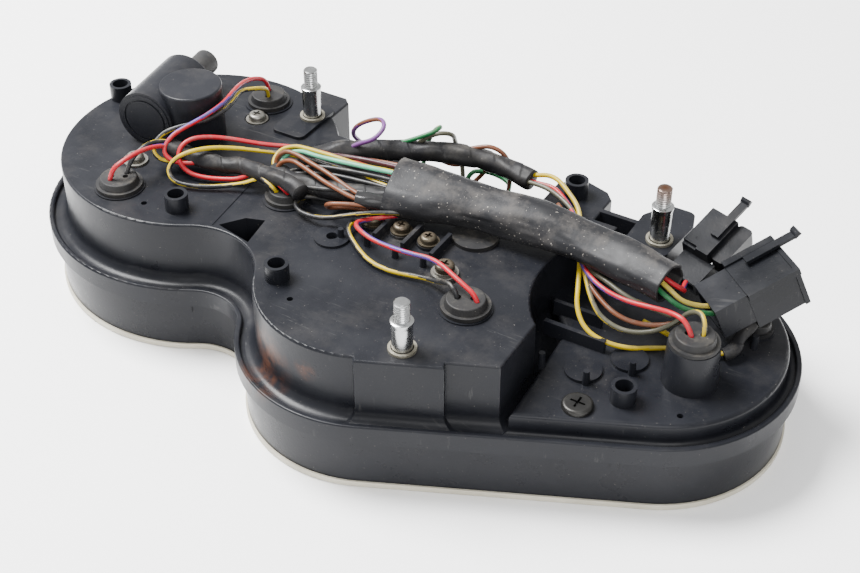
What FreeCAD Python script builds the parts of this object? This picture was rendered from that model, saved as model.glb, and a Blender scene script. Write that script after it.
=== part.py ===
"""Three-dial motorcycle instrument cluster, lying face down on its lens rim.

Units are millimetres. +Z is up, out of the back of the cluster, and +X runs along its long side
from the speedometer to the gauge pod. Z = 0 is the rim that rests on the bench. The dials face -Z.
"""
import FreeCAD, Part
import math
import os

from FreeCAD import Placement, Rotation, Vector

# ---------------------------------------------------------------- driving dimensions
LEFT, LEFT_R = (-97.8, 10.0), 66.4          # speedometer lobe of the flange
MID, MID_R = (13.0, -31.0), 53.5            # tachometer lobe
RIGHT, RIGHT_R = (108.5, 14.5), 55.7        # gauge pod
NECK_R = 20.0                               # concave blend between the first two lobes
FAR_Y = 66.0                                # straight far edge of the flange
FAR_BLEND_R = 10.0                          # its blends into the end lobes

TRIM_TOP = 2.7                              # cream rim gasket
FRONT_TOP = 28.0                            # front case wall
LIP_BOTTOM, LIP_TOP, LIP_WALL = 24.5, 32.5, 2.2
GROOVE_BOTTOM, GROOVE_TOP = 28.3, 30.3      # floor of the groove inside the lip
HIGH_DECK = 58.0                            # back of the speedometer and tachometer
LOW_DECK = 39.0                             # back of the gauge pod and of the lamp shelf
WALL = 2.5
HIGH_INSET, LOW_INSET = 8.5, 5.3            # walls stand this far inside the lip's edge
SHELF_Y = 45.5                              # far edge of the high deck, in front of the lamp shelf
FRONT_SLOPE = math.radians(23.6)            # the straight front side, from the X axis

SPINDLE = (-104.5, 15.0)                    # speedometer needle, magnet and upright drive barrel
TACH_PIVOT = MID
TEMP_PIVOT, FUEL_PIVOT = (90.0, 20.0), (127.0, 20.0)
DIAL_BOTTOM, DIAL_T = 14.0, 1.0
FRAME_BOTTOM, FRAME_T = 30.6, 2.0           # plate that carries each movement
RUN = 0.05                                  # radial clearance of a running fit

BARREL_R, BARREL_TOP = 13.0, 82.6           # angle drive: upright barrel over the spindle
LEVEL_R, LEVEL_Z, LEVEL_YAW = 12.5, 70.0, 8.0   # level barrel beside it, round the cable's shaft
DRIVE_OFFSET = 14.4                         # between the two shafts of the angle drive
LEVEL_NEAR, LEVEL_FAR = -16.4, 18.7         # ends of the level barrel along its own axis
CABLE_R, CABLE_LENGTH = 5.6, 16.9           # threaded nose for the cable's nut
INPUT_TEETH, SPINDLE_TEETH = 10, 18

BOSSES = {"a": (-150.3, 22.5), "b": (-77.8, -31.8), "c": (-18.0, -48.5),
          "d": (114.0, -24.8), "e": (53.7, 56.9)}
BOSS_R, BOSS_BORE_R, BOSS_UP = 4.7, 3.3, 7.0
SCREW_SEAT, SCREW_CLEAR_R = 33.3, 2.1       # under the heads of the case screws
STUDS = {"1": (-68.6, 50.2), "2": (94.9, 45.6), "3": (43.4, -59.7)}
STUD_TOPS = {"1": 82.5, "2": 82.5, "3": 79.5}   # the third is pressed in deeper
STUD_LENGTH, THREAD_LENGTH = 30.0, 8.2
DECK_SCREWS = [(-89.3, 38.4), (-113.2, -13.9)]
GROUND_SCREW = (35.0, -15.5)
POD_SCREW = (101.5, -36.0)
TERMINALS = [(-5.0, -2.0), (7.2, -1.0), (20.0, -2.0)]
HIGH_LAMPS = {"left": (-107.0, -31.6), "upper": (-92.3, 51.5), "centre": (51.4, -28.6),
              "neck": (-44.6, -4.5)}
FLANGE_R = {"left": 9.4, "upper": 9.0, "centre": 9.4, "neck": 8.3}     # of each lamp holder
TOWER, TOWER_R, TOWER_TOP_R, TOWER_TOP = (130.0, -2.3), 10.6, 9.6, 56.0
SMALL_LAMP = (141.0, 36.0)
INDICATORS = [(-36.0, 53.0), (-16.0, 53.0), (4.0, 53.0), (24.0, 53.0)]
LAMP_BORE_R, SMALL_BORE_R = 7.2, 4.6
VENTS = [(-91.3, -35.8, HIGH_DECK), (-6.7, -56.6, HIGH_DECK), (134.9, -22.0, LOW_DECK)]
DECK_PINS = [(-11.2, -15.6), (-0.1, -14.3), (13.1, -15.3), (25.1, -14.7)]
POD_PINS = [(80.2, -22.6), (98.6, -23.4), (110.8, -10.3), (143.7, 26.1), (75.0, 2.0)]
POCKET = [(-57.0, -32.5), (-50.5, -23.5), (-43.0, -21.0), (-40.5, -36.0)]

ODO_Y, TRIP_Y, DRUM_Z, DRUM_R, DRUM_W = -3.0, 36.5, 21.6, 5.8, 3.4
ODO_DRUMS, TRIP_DRUMS = 5, 3
KNOB_X, KNOB_Z, KNOB_R = -104.5, 19.5, 4.5
KNOB_START, KNOB_END = 77.4, 84.5

PARTS = "parts"


# ---------------------------------------------------------------- plain building blocks
def cyl(x, y, z0, z1, r):
    """Upright cylinder between two heights."""
    return Part.makeCylinder(r, z1 - z0, Vector(x, y, z0))


def tube(x, y, z0, z1, r, bore):
    return cyl(x, y, z0, z1, r).cut(cyl(x, y, z0 - 1, z1 + 1, bore))


def cone(x, y, z0, z1, r0, r1):
    return Part.makeCone(r0, r1, z1 - z0, Vector(x, y, z0))


def rod(start, axis, length, r):
    """Cylinder along any axis."""
    return Part.makeCylinder(r, length, Vector(*start), Vector(*axis))


def block(x0, x1, y0, y1, z0, z1):
    return Part.makeBox(x1 - x0, y1 - y0, z1 - z0, Vector(x0, y0, z0))


def disc(centre, r):
    circle = Part.Circle(Vector(centre[0], centre[1], 0), Vector(0, 0, 1), r)
    return Part.Face(Part.Wire(circle.toShape()))


def polygon(points):
    """Face over the points, always seen counter-clockwise from above."""
    doubled = sum(a[0] * b[1] - b[0] * a[1] for a, b in zip(points, points[1:] + points[:1]))
    ordered = points if doubled > 0 else points[::-1]
    corners = [Vector(x, y, 0) for x, y in ordered]
    return Part.Face(Part.makePolygon(corners + corners[:1]))


def joined(faces):
    """One face from overlapping coplanar faces."""
    whole = faces[0].fuse(faces[1:]).removeSplitter()
    return max(whole.Faces, key=lambda face: face.Area)


def prism(face, z0, z1):
    moved = face.copy()
    moved.translate(Vector(0, 0, z0))
    return moved.extrude(Vector(0, 0, z1 - z0))


def inside(face, distance):
    """The face with its edge moved inwards."""
    smaller = face.makeOffset2D(-distance)
    return max(smaller.Faces, key=lambda part: part.Area)


def fused(shapes):
    whole = shapes[0].fuse(shapes[1:]) if len(shapes) > 1 else shapes[0]
    return whole.removeSplitter()


def soften(solid, radius, chosen):
    """Rounds the edges that chosen() picks; a solid that can't take it stays sharp."""
    edges = [edge for edge in solid.Edges if chosen(edge)]
    try:
        rounded = solid.makeFillet(radius, edges)
        return rounded if rounded.isValid() and rounded.Volume > 0 else solid
    except Exception:
        return solid


def at_height(z, tolerance=0.01):
    return lambda edge: (abs(edge.BoundBox.ZMin - z) < tolerance
                         and abs(edge.BoundBox.ZMax - z) < tolerance)


def slab(points, z0, z1, radius):
    """Prism over a polygon whose upright corners are rounded."""
    solid = prism(polygon(points), z0, z1)
    return soften(solid, radius, lambda edge: edge.BoundBox.ZLength > 0.5)


def save(name, *shapes):
    """Writes one node. Several solids in a node stay separate."""
    solids = [solid for shape in shapes for solid in shape.Solids]
    for solid in solids:
        if not solid.isValid():
            print("INVALID", name)
    shape = solids[0] if len(solids) == 1 else Part.makeCompound(solids)
    shape.exportStep(f"{PARTS}/{name}.step")
    print(f"{name}: {len(solids)} solid(s), {sum(solid.Volume for solid in solids):.0f} mm3")


# ---------------------------------------------------------------- outlines in plan
def towards(a, b):
    length = math.hypot(b[0] - a[0], b[1] - a[1])
    return ((b[0] - a[0]) / length, (b[1] - a[1]) / length), length


def neck_centre(blend):
    """Centre of the circle that touches the first two lobes from the front side."""
    (ux, uy), length = towards(LEFT, MID)
    reach_1, reach_2 = LEFT_R + blend, MID_R + blend
    along = (length ** 2 + reach_1 ** 2 - reach_2 ** 2) / (2 * length)
    across = math.sqrt(reach_1 ** 2 - along ** 2)
    return (LEFT[0] + ux * along + uy * across, LEFT[1] + uy * along - ux * across)


NECK = neck_centre(NECK_R)


def front_side(radius_1, radius_2):
    """Ends of the straight front side, tangent to the last two lobes."""
    (ux, uy), length = towards(MID, RIGHT)
    angle = math.atan2(uy, ux) - math.pi / 2 + math.asin((radius_1 - radius_2) / length)
    nx, ny = math.cos(angle), math.sin(angle)
    return ((MID[0] + radius_1 * nx, MID[1] + radius_1 * ny),
            (RIGHT[0] + radius_2 * nx, RIGHT[1] + radius_2 * ny))


def outline(inset):
    """The cluster's outline in plan, moved inwards by inset."""
    left_r, mid_r, right_r = LEFT_R - inset, MID_R - inset, RIGHT_R - inset
    far_y, far_blend = FAR_Y - inset, FAR_BLEND_R + inset
    side = front_side(mid_r, right_r)
    blend_y = far_y + far_blend
    left_x = LEFT[0] + math.sqrt((left_r + far_blend) ** 2 - (blend_y - LEFT[1]) ** 2)
    right_x = RIGHT[0] - math.sqrt((right_r + far_blend) ** 2 - (blend_y - RIGHT[1]) ** 2)
    body = joined([disc(LEFT, left_r), disc(MID, mid_r), disc(RIGHT, right_r),
                   polygon([LEFT, NECK, MID]), polygon([MID, side[0], side[1], RIGHT]),
                   polygon([LEFT, MID, RIGHT, (right_x, blend_y), (right_x, far_y),
                            (left_x, far_y), (left_x, blend_y)])])
    bites = [disc(NECK, NECK_R + inset), disc((left_x, blend_y), far_blend),
             disc((right_x, blend_y), far_blend)]
    body = body.cut(bites)
    return max(body.Faces, key=lambda face: face.Area)


def along_front(start, distance, out=0.0):
    """A point from start along the straight front side, and outwards from it."""
    ux, uy = math.cos(FRONT_SLOPE), math.sin(FRONT_SLOPE)
    return (start[0] + ux * distance + uy * out, start[1] + uy * distance - ux * out)


BOX_START = (32.0, -74.0)                   # left corner of the stud box on the front side
BOX_LENGTH, BOX_STEP, BOX_END = 32.0, 2.8, 51.5
POD_CENTRE, POD_SIDE_R = (109.0, 8.0), 44.5  # hollow that the gauge pod leaves in the high deck


def high_deck_face():
    """Plan of the high deck: two round cups, the stud box and the two far lugs."""
    step_1 = along_front(BOX_START, BOX_LENGTH)
    step_2 = along_front(BOX_START, BOX_LENGTH, -BOX_STEP)
    corner = along_front(BOX_START, BOX_END, -BOX_STEP)
    body = joined([disc(LEFT, LEFT_R - HIGH_INSET), disc(MID, MID_R - HIGH_INSET),
                   polygon([LEFT, NECK, MID]),
                   polygon([LEFT, MID, (20.0, -60.0), BOX_START, step_1, step_2, corner,
                            (77.5, -24.0), (77.5, SHELF_Y), (-66.0, SHELF_Y)]),
                   polygon([(-84.0, 60.0), (-82.0, 69.5), (-79.0, 72.0), (-65.5, 72.0),
                            (-62.5, 69.0), (-62.5, 40.0), (-84.0, 40.0)]),
                   polygon([(43.5, 40.0), (43.5, 60.5), (50.5, 69.0), (64.0, 65.0),
                            (67.5, 61.0), (67.5, 40.0)])])
    body = body.cut([disc(NECK, NECK_R + HIGH_INSET), disc(POD_CENTRE, POD_SIDE_R)])
    return max(body.Faces, key=lambda face: face.Area)


def low_deck_face():
    """Plan of the gauge pod and of the lamp shelf behind the high deck."""
    region = polygon([(-50.0, 30.0), (50.0, 30.0), (79.0, 0.0), (84.0, -70.0), (200.0, -70.0),
                      (200.0, 120.0), (-50.0, 120.0)])
    low = outline(LOW_INSET).common(region)
    return max(low.Faces, key=lambda face: face.Area)


# ---------------------------------------------------------------- rear case
def deck_of(x, y):
    """Height of the deck that a point stands on."""
    pod = math.hypot(x - POD_CENTRE[0], y - POD_CENTRE[1]) < POD_SIDE_R
    return LOW_DECK if pod or y > FAR_Y or (y > SHELF_Y and -60 < x < 43) else HIGH_DECK


def boss_tube(x, y):
    return tube(x, y, GROOVE_BOTTOM, deck_of(x, y) + BOSS_UP, BOSS_R, BOSS_BORE_R)


def boss_floor(x, y):
    """Solid foot of a boss, which the case screw's head pulls down."""
    return cyl(x, y, GROOVE_BOTTOM, SCREW_SEAT, BOSS_R)


def deck_furniture():
    """Pads, pins, ribs and lugs that stand on the decks."""
    things = []
    for x, y in DECK_PINS:
        things.append(cone(x, y, HIGH_DECK - 1, HIGH_DECK + 4.5, 1.5, 1.1))
    for x, y in POD_PINS:
        things.append(cone(x, y, LOW_DECK - 1, LOW_DECK + 6.0, 1.6, 1.2))
    things.append(cyl(-14.2, -17.3, HIGH_DECK - 1, HIGH_DECK + 1.0, 7.0))
    things.append(cyl(94.8, -17.8, LOW_DECK - 1, LOW_DECK + 1.2, 7.0))
    things.append(cyl(107.0, -4.0, LOW_DECK - 1, LOW_DECK + 1.2, 7.0))
    things.append(slab([(-78.5, 33.0), (-63.0, 33.0), (-63.0, 60.0), (-78.5, 60.0)],
                       HIGH_DECK - 1, HIGH_DECK + 1.4, 3.0))
    things.append(slab([(83.0, 36.0), (101.0, 36.0), (103.0, 60.0), (100.0, 69.0),
                        (89.0, 69.0), (82.5, 58.0)], LOW_DECK - 1, HIGH_DECK, 3.5))
    things.append(block(66.0, 85.0, 51.0, 53.2, LOW_DECK - 1, HIGH_DECK))
    things.append(block(72.0, 97.0, -5.5, -3.5, LOW_DECK - 1, LOW_DECK + 5.5))
    things.append(block(70.0, 90.0, 7.0, 8.8, LOW_DECK - 1, LOW_DECK + 5.5))
    for x in (1.1, 13.6, 26.2):
        things.append(block(x - 0.8, x + 0.8, -11.0, 4.0, HIGH_DECK - 1, HIGH_DECK + 4.0))
    for x, y in TERMINALS:
        things.append(cyl(x, y, HIGH_DECK - 1, HIGH_DECK + 1.2, 4.6))
    for name, (x, y) in HIGH_LAMPS.items():
        pad_r = min(FLANGE_R[name] + 1.2, 10.2)
        things.append(cyl(x, y, HIGH_DECK - 1, HIGH_DECK + 0.6, pad_r))
    things.append(cyl(*GROUND_SCREW, HIGH_DECK - 1, HIGH_DECK + 0.8, 5.5))
    for x, y in INDICATORS + [SMALL_LAMP]:
        things.append(cyl(x, y, LOW_DECK - 1, LOW_DECK + 0.8, 6.4))
    things.append(cone(*TOWER, LOW_DECK - 1, TOWER_TOP, TOWER_R, TOWER_TOP_R))
    things += [boss_tube(x, y) for x, y in BOSSES.values()]
    return things


def deck_holes():
    """Everything that goes through the decks from behind."""
    holes = [cyl(x, y, SCREW_SEAT, deck_of(x, y) + 9, BOSS_BORE_R) for x, y in BOSSES.values()]
    holes += [cyl(x, y, GROOVE_BOTTOM - 1, SCREW_SEAT + 1, SCREW_CLEAR_R) for x, y in BOSSES.values()]
    holes += [cyl(x, y, 50, 62, LAMP_BORE_R) for x, y in HIGH_LAMPS.values()]
    holes += [cyl(x, y, 30, 45, SMALL_BORE_R) for x, y in INDICATORS + [SMALL_LAMP]]
    holes.append(cyl(*TOWER, 30, 60, LAMP_BORE_R))
    holes += [cyl(x, y, z - 4, z + 2, 1.2) for x, y, z in VENTS]
    holes += [cyl(x, y, 50, 62, 2.1) for x, y in DECK_SCREWS + TERMINALS + [GROUND_SCREW]]
    holes.append(cyl(*POD_SCREW, 33, 42, 2.1))
    holes.append(cyl(-14.2, -17.3, HIGH_DECK - 1.5, HIGH_DECK + 2, 2.2))
    holes.append(cyl(*SPINDLE, 50, 60, 7.6))
    holes.append(cyl(33.4, 10.9, 50, 60, 6.0))
    for name, (x, y) in STUDS.items():
        holes.append(cyl(x, y, STUD_TOPS[name] - STUD_LENGTH - 0.1, HIGH_DECK + 3, 4.15))
    return holes


YARD_X, YARD_Y = 220.0, 140.0                 # flat ground round a wall while its foot is rounded
HIGH_COVE, LOW_COVE = 4.5, 2.2


def cove(face, radius):
    """Hollow rounding where a deck's wall meets the groove floor; a wall that can't take it stays square."""
    wall = prism(face, GROOVE_BOTTOM, GROOVE_TOP + radius + 2)
    yard = block(-YARD_X, YARD_X, -YARD_Y, YARD_Y, GROOVE_BOTTOM, GROOVE_TOP)
    whole = yard.fuse(wall).removeSplitter()
    at_foot = at_height(GROOVE_TOP)
    rounded = soften(whole, radius, lambda edge: at_foot(edge) and edge.BoundBox.YMax < YARD_Y - 1
                     and edge.BoundBox.YMin > 1 - YARD_Y)
    over = prism(outline(LIP_WALL / 2), GROOVE_BOTTOM, GROOVE_TOP + radius + 2)
    return rounded.common(over)


def rear_case():
    high, low = high_deck_face(), low_deck_face()
    high_body = soften(prism(high, GROOVE_BOTTOM, HIGH_DECK), 0.9, at_height(HIGH_DECK))
    low_body = soften(prism(low, GROOVE_BOTTOM, LOW_DECK), 1.6, at_height(LOW_DECK))
    lip = prism(outline(0), LIP_BOTTOM, LIP_TOP).cut(prism(outline(LIP_WALL), LIP_BOTTOM - 1, LIP_TOP + 1))
    lip = soften(lip, 0.7, at_height(LIP_TOP))
    floor = prism(outline(LIP_WALL / 2), GROOVE_BOTTOM, GROOVE_TOP)
    coves = [cove(high, HIGH_COVE), cove(low, LOW_COVE)]
    high_room = prism(inside(high, WALL), GROOVE_BOTTOM - 1, HIGH_DECK - WALL)
    low_room = prism(inside(low, WALL), GROOVE_BOTTOM - 1, LOW_DECK - WALL)
    pocket = polygon(POCKET)
    pocket_wall = prism(pocket.makeOffset2D(2.0), GROOVE_BOTTOM, HIGH_DECK)
    posts = [cyl(x, y, HIGH_DECK - 12, HIGH_DECK - 1, 6.5) for x, y in STUDS.values()]
    room = high_room.fuse(low_room).cut([pocket_wall] + posts)
    shell = fused([high_body, low_body, lip, floor] + coves).cut(room)
    shell = fused([shell] + deck_furniture() + [boss_floor(x, y) for x, y in BOSSES.values()])
    shell = shell.cut(deck_holes() + [prism(pocket, HIGH_DECK - 24, HIGH_DECK + 1)])
    crease = Part.makeCylinder(0.5, 34, Vector(-58.7, -34, HIGH_DECK + 0.15), Vector(-0.12, 1, 0))
    shell = shell.cut([crease, cyl(*DECK_SCREWS[0], HIGH_DECK - 0.8, HIGH_DECK + 1, 5.4)])
    return max(shell.Solids, key=lambda solid: solid.Volume)


# ---------------------------------------------------------------- front case, lens and mask
FRONT_BOTTOM_INSET, FRONT_WALL = 3.0, 2.2


def front_case():
    """Skirt between the rear case and the lens, with the posts that the case screws bite into."""
    wall = prism(outline(FRONT_BOTTOM_INSET), TRIM_TOP, FRONT_TOP)
    room = prism(outline(FRONT_BOTTOM_INSET + FRONT_WALL), TRIM_TOP + 1.8, FRONT_TOP + 1)
    window = prism(outline(FRONT_BOTTOM_INSET + 5.5), TRIM_TOP - 1, TRIM_TOP + 3)
    band = prism(outline(LIP_WALL + 0.15), LIP_BOTTOM - 1.4, LIP_BOTTOM)
    band = band.cut(prism(outline(FRONT_BOTTOM_INSET + 0.5), LIP_BOTTOM - 2, LIP_BOTTOM + 1))
    shell = wall.cut([room, window])
    anchors = {"a": (-162.0, 24.0), "b": (-66.0, -46.0), "c": (-30.0, -60.0), "d": (120.0, -42.5),
               "e": (54.0, 63.0)}
    parts = [shell, band]
    for key, (x, y) in BOSSES.items():
        ax, ay = anchors[key]
        (ux, uy), length = towards((x, y), (ax, ay))
        rib = block(0, length, -1.5, 1.5, 19.0, FRONT_TOP)
        rib.rotate(Vector(0, 0, 0), Vector(0, 0, 1), math.degrees(math.atan2(uy, ux)))
        rib.translate(Vector(x, y, 0))
        parts += [cyl(x, y, 19.0, GROOVE_BOTTOM - 0.02, 4.2), rib]
    body = fused(parts)
    trimmed = body.common(prism(outline(LIP_WALL + 0.1), 0, 40))
    trimmed = trimmed.cut([cyl(x, y, 21, 40, 1.95) for x, y in BOSSES.values()])
    trimmed = trimmed.cut([rod((KNOB_X, 60, KNOB_Z), (0, 1, 0), 30, 1.5 + RUN)])
    return max(trimmed.Solids, key=lambda solid: solid.Volume)


def rim_gasket():
    ring = prism(outline(FRONT_BOTTOM_INSET - 0.7), 0, TRIM_TOP)
    ring = soften(ring, 0.7, at_height(0))
    return ring.cut(prism(outline(FRONT_BOTTOM_INSET + 3.0), -1, TRIM_TOP + 1))


def lens():
    return prism(outline(FRONT_BOTTOM_INSET + 3.05), 0.5, TRIM_TOP)


def case_seal():
    ring = prism(outline(FRONT_BOTTOM_INSET + 0.2), FRONT_TOP, GROOVE_BOTTOM)
    return ring.cut(prism(outline(FRONT_BOTTOM_INSET + 1.9), FRONT_TOP - 1, GROOVE_BOTTOM + 1))


DIALS = {"speedometer": (SPINDLE, 43.0), "tachometer": (TACH_PIVOT, 41.0), "gauge": (RIGHT, 42.0)}


def dial_mask():
    """Black panel with a round window per dial and a slot for the warning lamps."""
    plate = prism(outline(FRONT_BOTTOM_INSET + FRONT_WALL + 0.4), 5.0, 6.2)
    holes = [cyl(*centre, 4, 8, radius) for centre, radius in DIALS.values()]
    holes += [block(x - 7, x + 7, y - 4.5, y + 4.5, 4, 8) for x, y in INDICATORS]
    collars = []
    for centre, radius in DIALS.values():
        collars.append(tube(*centre, 6.2, DIAL_BOTTOM - 0.1, radius + 1.4, radius))
    return fused([plate.cut(holes)] + collars)


def indicator_lenses():
    return [block(x - 6.8, x + 6.8, y - 4.3, y + 4.3, 6.3, 7.8) for x, y in INDICATORS]


LIGHT_BOX_TOP = 30.5


def indicator_light_box():
    x0, x1, y = INDICATORS[0][0] - 9, INDICATORS[-1][0] + 9, INDICATORS[0][1]
    box = block(x0, x1, y - 5.0, y + 5.0, 8.0, LIGHT_BOX_TOP)
    cells = [block(cx - 7.5, cx + 7.5, y - 4.2, y + 4.2, 7, LIGHT_BOX_TOP + 1) for cx, _ in INDICATORS]
    return box.cut(cells)


# ---------------------------------------------------------------- movements
def post(x, y, top):
    return tube(x, y, FRAME_BOTTOM, top, 4.0, 1.95)


def frame_plate(centre, radius):
    plate = cyl(*centre, FRAME_BOTTOM, FRAME_BOTTOM + FRAME_T, radius)
    clear = [cyl(x, y, FRAME_BOTTOM - 1, FRAME_BOTTOM + 5, BOSS_R + 1.0) for x, y in BOSSES.values()]
    return plate.cut(clear)


def dial_pillars(centre, radius, angles):
    pillars = []
    for angle in angles:
        x = centre[0] + radius * math.cos(math.radians(angle))
        y = centre[1] + radius * math.sin(math.radians(angle))
        pillars.append(cyl(x, y, DIAL_BOTTOM + DIAL_T, FRAME_BOTTOM + 0.5, 2.2))
    return pillars


WORM_R, WORM_REACH, WORM_Z = 2.6, 7.9, 46.5      # worm on the spindle and the wheel beside it


def speedometer_frame():
    """Cast frame: plate, spindle bearing, drum brackets and the posts for the deck screws."""
    x, y = SPINDLE
    parts = [frame_plate(SPINDLE, 36.0)]
    parts += dial_pillars(SPINDLE, 31.0, (0, 180))
    parts += [post(sx, sy, HIGH_DECK - WALL) for sx, sy in DECK_SCREWS]
    parts.append(cyl(x, y, FRAME_BOTTOM, HIGH_DECK + 1.5, 7.4))
    for shaft_y, count in ((ODO_Y, ODO_DRUMS), (TRIP_Y, TRIP_DRUMS)):
        for side in (-1, 1):
            bx = x + side * (count * (DRUM_W + 0.3) / 2 + 1.6)
            parts.append(block(bx - 1.0, bx + 1.0, shaft_y - 3.5, shaft_y + 3.5, 17.0, FRAME_BOTTOM + 0.5))
    for side in (-1, 1):
        ear_x = x + side * 5.8
        parts.append(block(ear_x - 1.2, ear_x + 1.2, y + WORM_REACH - 2.5, y + WORM_REACH + 2.5,
                           FRAME_BOTTOM, WORM_Z + 3.0))
    body = fused(parts)
    shafts = [rod((x - 15, shaft_y, DRUM_Z), (1, 0, 0), 30, 1.2) for shaft_y in (ODO_Y, TRIP_Y)]
    window = block(x - 3.0, x + 3.0, y + 2.0, y + 14.0, WORM_Z - 6.0, WORM_Z + 6.0)
    axle = rod((x - 15, y + WORM_REACH, WORM_Z), (1, 0, 0), 30, 1.0 + RUN)
    return body.cut([cyl(x, y, 20, 70, 1.5 + RUN), cyl(x, y, WORM_Z - 6.0, WORM_Z + 6.0, 5.6), window,
                     axle] + shafts)


def tachometer_frame():
    parts = [frame_plate(MID, 33.0)]
    parts += dial_pillars(MID, 30.0, (0, 180))
    parts.append(post(*GROUND_SCREW, HIGH_DECK - WALL))
    parts += [post(x, y, HIGH_DECK - WALL) for x, y in TERMINALS]
    parts.append(block(12.0, 38.0, -19.0, -12.0, FRAME_BOTTOM, FRAME_BOTTOM + FRAME_T))
    parts.append(block(-9.0, 24.0, -8.0, 3.0, FRAME_BOTTOM, FRAME_BOTTOM + FRAME_T))
    body = fused(parts)
    bores = [cyl(*point, 20, 60, 1.95) for point in TERMINALS + [GROUND_SCREW]]
    return body.cut(bores + [cyl(*MID, 20, 60, 6.0)])


def gauge_frame():
    parts = [frame_plate(RIGHT, 30.0)]
    parts += dial_pillars(RIGHT, 28.0, (80, 260))
    parts.append(post(*POD_SCREW, LOW_DECK - WALL))
    parts.append(block(99.0, 104.0, -38.0, -12.0, FRAME_BOTTOM, FRAME_BOTTOM + FRAME_T))
    body = fused(parts)
    holes = [cyl(*POD_SCREW, 20, 60, 1.95)]
    holes += [cyl(*pivot, 20, 60, 5.0) for pivot in (TEMP_PIVOT, FUEL_PIVOT)]
    holes += [cyl(*TOWER, 20, 60, 9.0)]
    return body.cut(holes)


def dial(centre, radius, pivots):
    """Printed plate just behind its window; the needle shafts pass through it."""
    plate = cyl(*centre, DIAL_BOTTOM, DIAL_BOTTOM + DIAL_T, radius + 1.2)
    return plate.cut([cyl(*pivot, DIAL_BOTTOM - 1, DIAL_BOTTOM + 2, 1.6) for pivot in pivots])


def speedometer_dial():
    plate = dial(*DIALS["speedometer"], [SPINDLE])
    windows = []
    for shaft_y, count in ((ODO_Y, ODO_DRUMS), (TRIP_Y, TRIP_DRUMS)):
        half = count * (DRUM_W + 0.3) / 2
        windows.append(block(SPINDLE[0] - half, SPINDLE[0] + half, shaft_y - 3, shaft_y + 3, 13, 16))
    return plate.cut(windows)


NEEDLE_BOTTOM, NEEDLE_T = 10.4, 1.0


def needle(pivot, length, tail, rest_angle, shaft_top):
    """Pointer, hub cap and shaft. rest_angle is where it points with the ignition off."""
    tip = polygon([(-tail, -1.5), (-tail, 1.5), (length * 0.1, 1.7), (length, 0.45), (length, -0.45),
                   (length * 0.1, -1.7)])
    blade = prism(tip, NEEDLE_BOTTOM, NEEDLE_BOTTOM + NEEDLE_T)
    hub = cyl(0, 0, NEEDLE_BOTTOM - 1.8, NEEDLE_BOTTOM + 2.2, 5.2)
    hub = soften(hub, 0.8, at_height(NEEDLE_BOTTOM - 1.8))
    body = fused([blade, hub, cyl(0, 0, NEEDLE_BOTTOM, shaft_top, 0.9)])
    body.rotate(Vector(0, 0, 0), Vector(0, 0, 1), rest_angle)
    body.translate(Vector(*pivot, 0))
    return body


def speed_cup():
    """Aluminium cup on the needle shaft; the spinning magnet drags it round."""
    x, y = SPINDLE
    cup = cyl(x, y, 18.0, 25.5, 11.5).cut(cyl(x, y, 18.8, 27.0, 10.9))
    return cup.cut(cyl(x, y, 17, 20, 0.9))


def movement_can(pivot, radius, top):
    """Coil housing of an electric gauge, with the bore for its shaft."""
    can = cyl(*pivot, DIAL_BOTTOM + DIAL_T + 0.4, top, radius)
    can = soften(can, 0.8, at_height(top))
    return can.cut(cyl(*pivot, 10, top - 4, 0.9 + RUN))


def gear(teeth, tip_r, root_r, z0, z1, bore):
    """Straight-toothed wheel about Z."""
    points = []
    for tooth in range(teeth):
        start = 2 * math.pi * tooth / teeth
        for share, radius in ((0.0, root_r), (0.25, root_r), (0.38, tip_r), (0.62, tip_r), (0.75, root_r)):
            angle = start + share * 2 * math.pi / teeth
            points.append((radius * math.cos(angle), radius * math.sin(angle)))
    return prism(polygon(points), z0, z1).cut(cyl(0, 0, z0 - 1, z1 + 1, bore))


def drum(x, y):
    """Number drum with a shallow knurl of carry teeth on one side."""
    body = rod((x - DRUM_W / 2, y, DRUM_Z), (1, 0, 0), DRUM_W, DRUM_R)
    collar = rod((x + DRUM_W / 2, y, DRUM_Z), (1, 0, 0), 0.12, 3.0)
    return fused([body, collar]).cut(rod((x - 5, y, DRUM_Z), (1, 0, 0), 10, 1.2 + RUN))


# ---------------------------------------------------------------- cable drive
def level(shape):
    """Moves a shape drawn along Y through the origin onto the level barrel's axis."""
    place = Placement(Vector(SPINDLE[0] - DRIVE_OFFSET, SPINDLE[1], LEVEL_Z),
                      Rotation(Vector(0, 0, 1), LEVEL_YAW))
    return placed(shape, place)


def along(start, end, r):
    """Cylinder along Y between two ends."""
    return rod((0, start, 0), (0, 1, 0), end - start, r)


def drive_housing():
    """Upright barrel on the deck and the level barrel that the cable enters."""
    x, y = SPINDLE
    foot = HIGH_DECK + 0.02
    upright = soften(cyl(x, y, foot, BARREL_TOP, BARREL_R), 0.8, at_height(BARREL_TOP))
    barrel = soften(along(LEVEL_NEAR, LEVEL_FAR, LEVEL_R), 1.0,
                    lambda edge: edge.BoundBox.YMin > LEVEL_FAR - 0.1)
    body = fused([upright, level(barrel)])
    hollow = [level(along(LEVEL_NEAR - 1, LEVEL_NEAR + 1.9, CAP_R + 0.02)),
              level(along(LEVEL_NEAR, 12.0, 8.6)),
              level(along(10.0, 20.0, INPUT_R + RUN)),
              level(along(14.9, 20.0, CABLE_SPIGOT_R + 0.02)),
              cyl(x, y, HIGH_DECK - 1, 79.0, 9.4),
              block(x - 50, x + 50, y - 50, y + 50, HIGH_DECK - 10, foot)]
    return body.cut(hollow)


CAP_R, INPUT_R, CABLE_SPIGOT_R = 11.2, 2.0, 4.4


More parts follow.
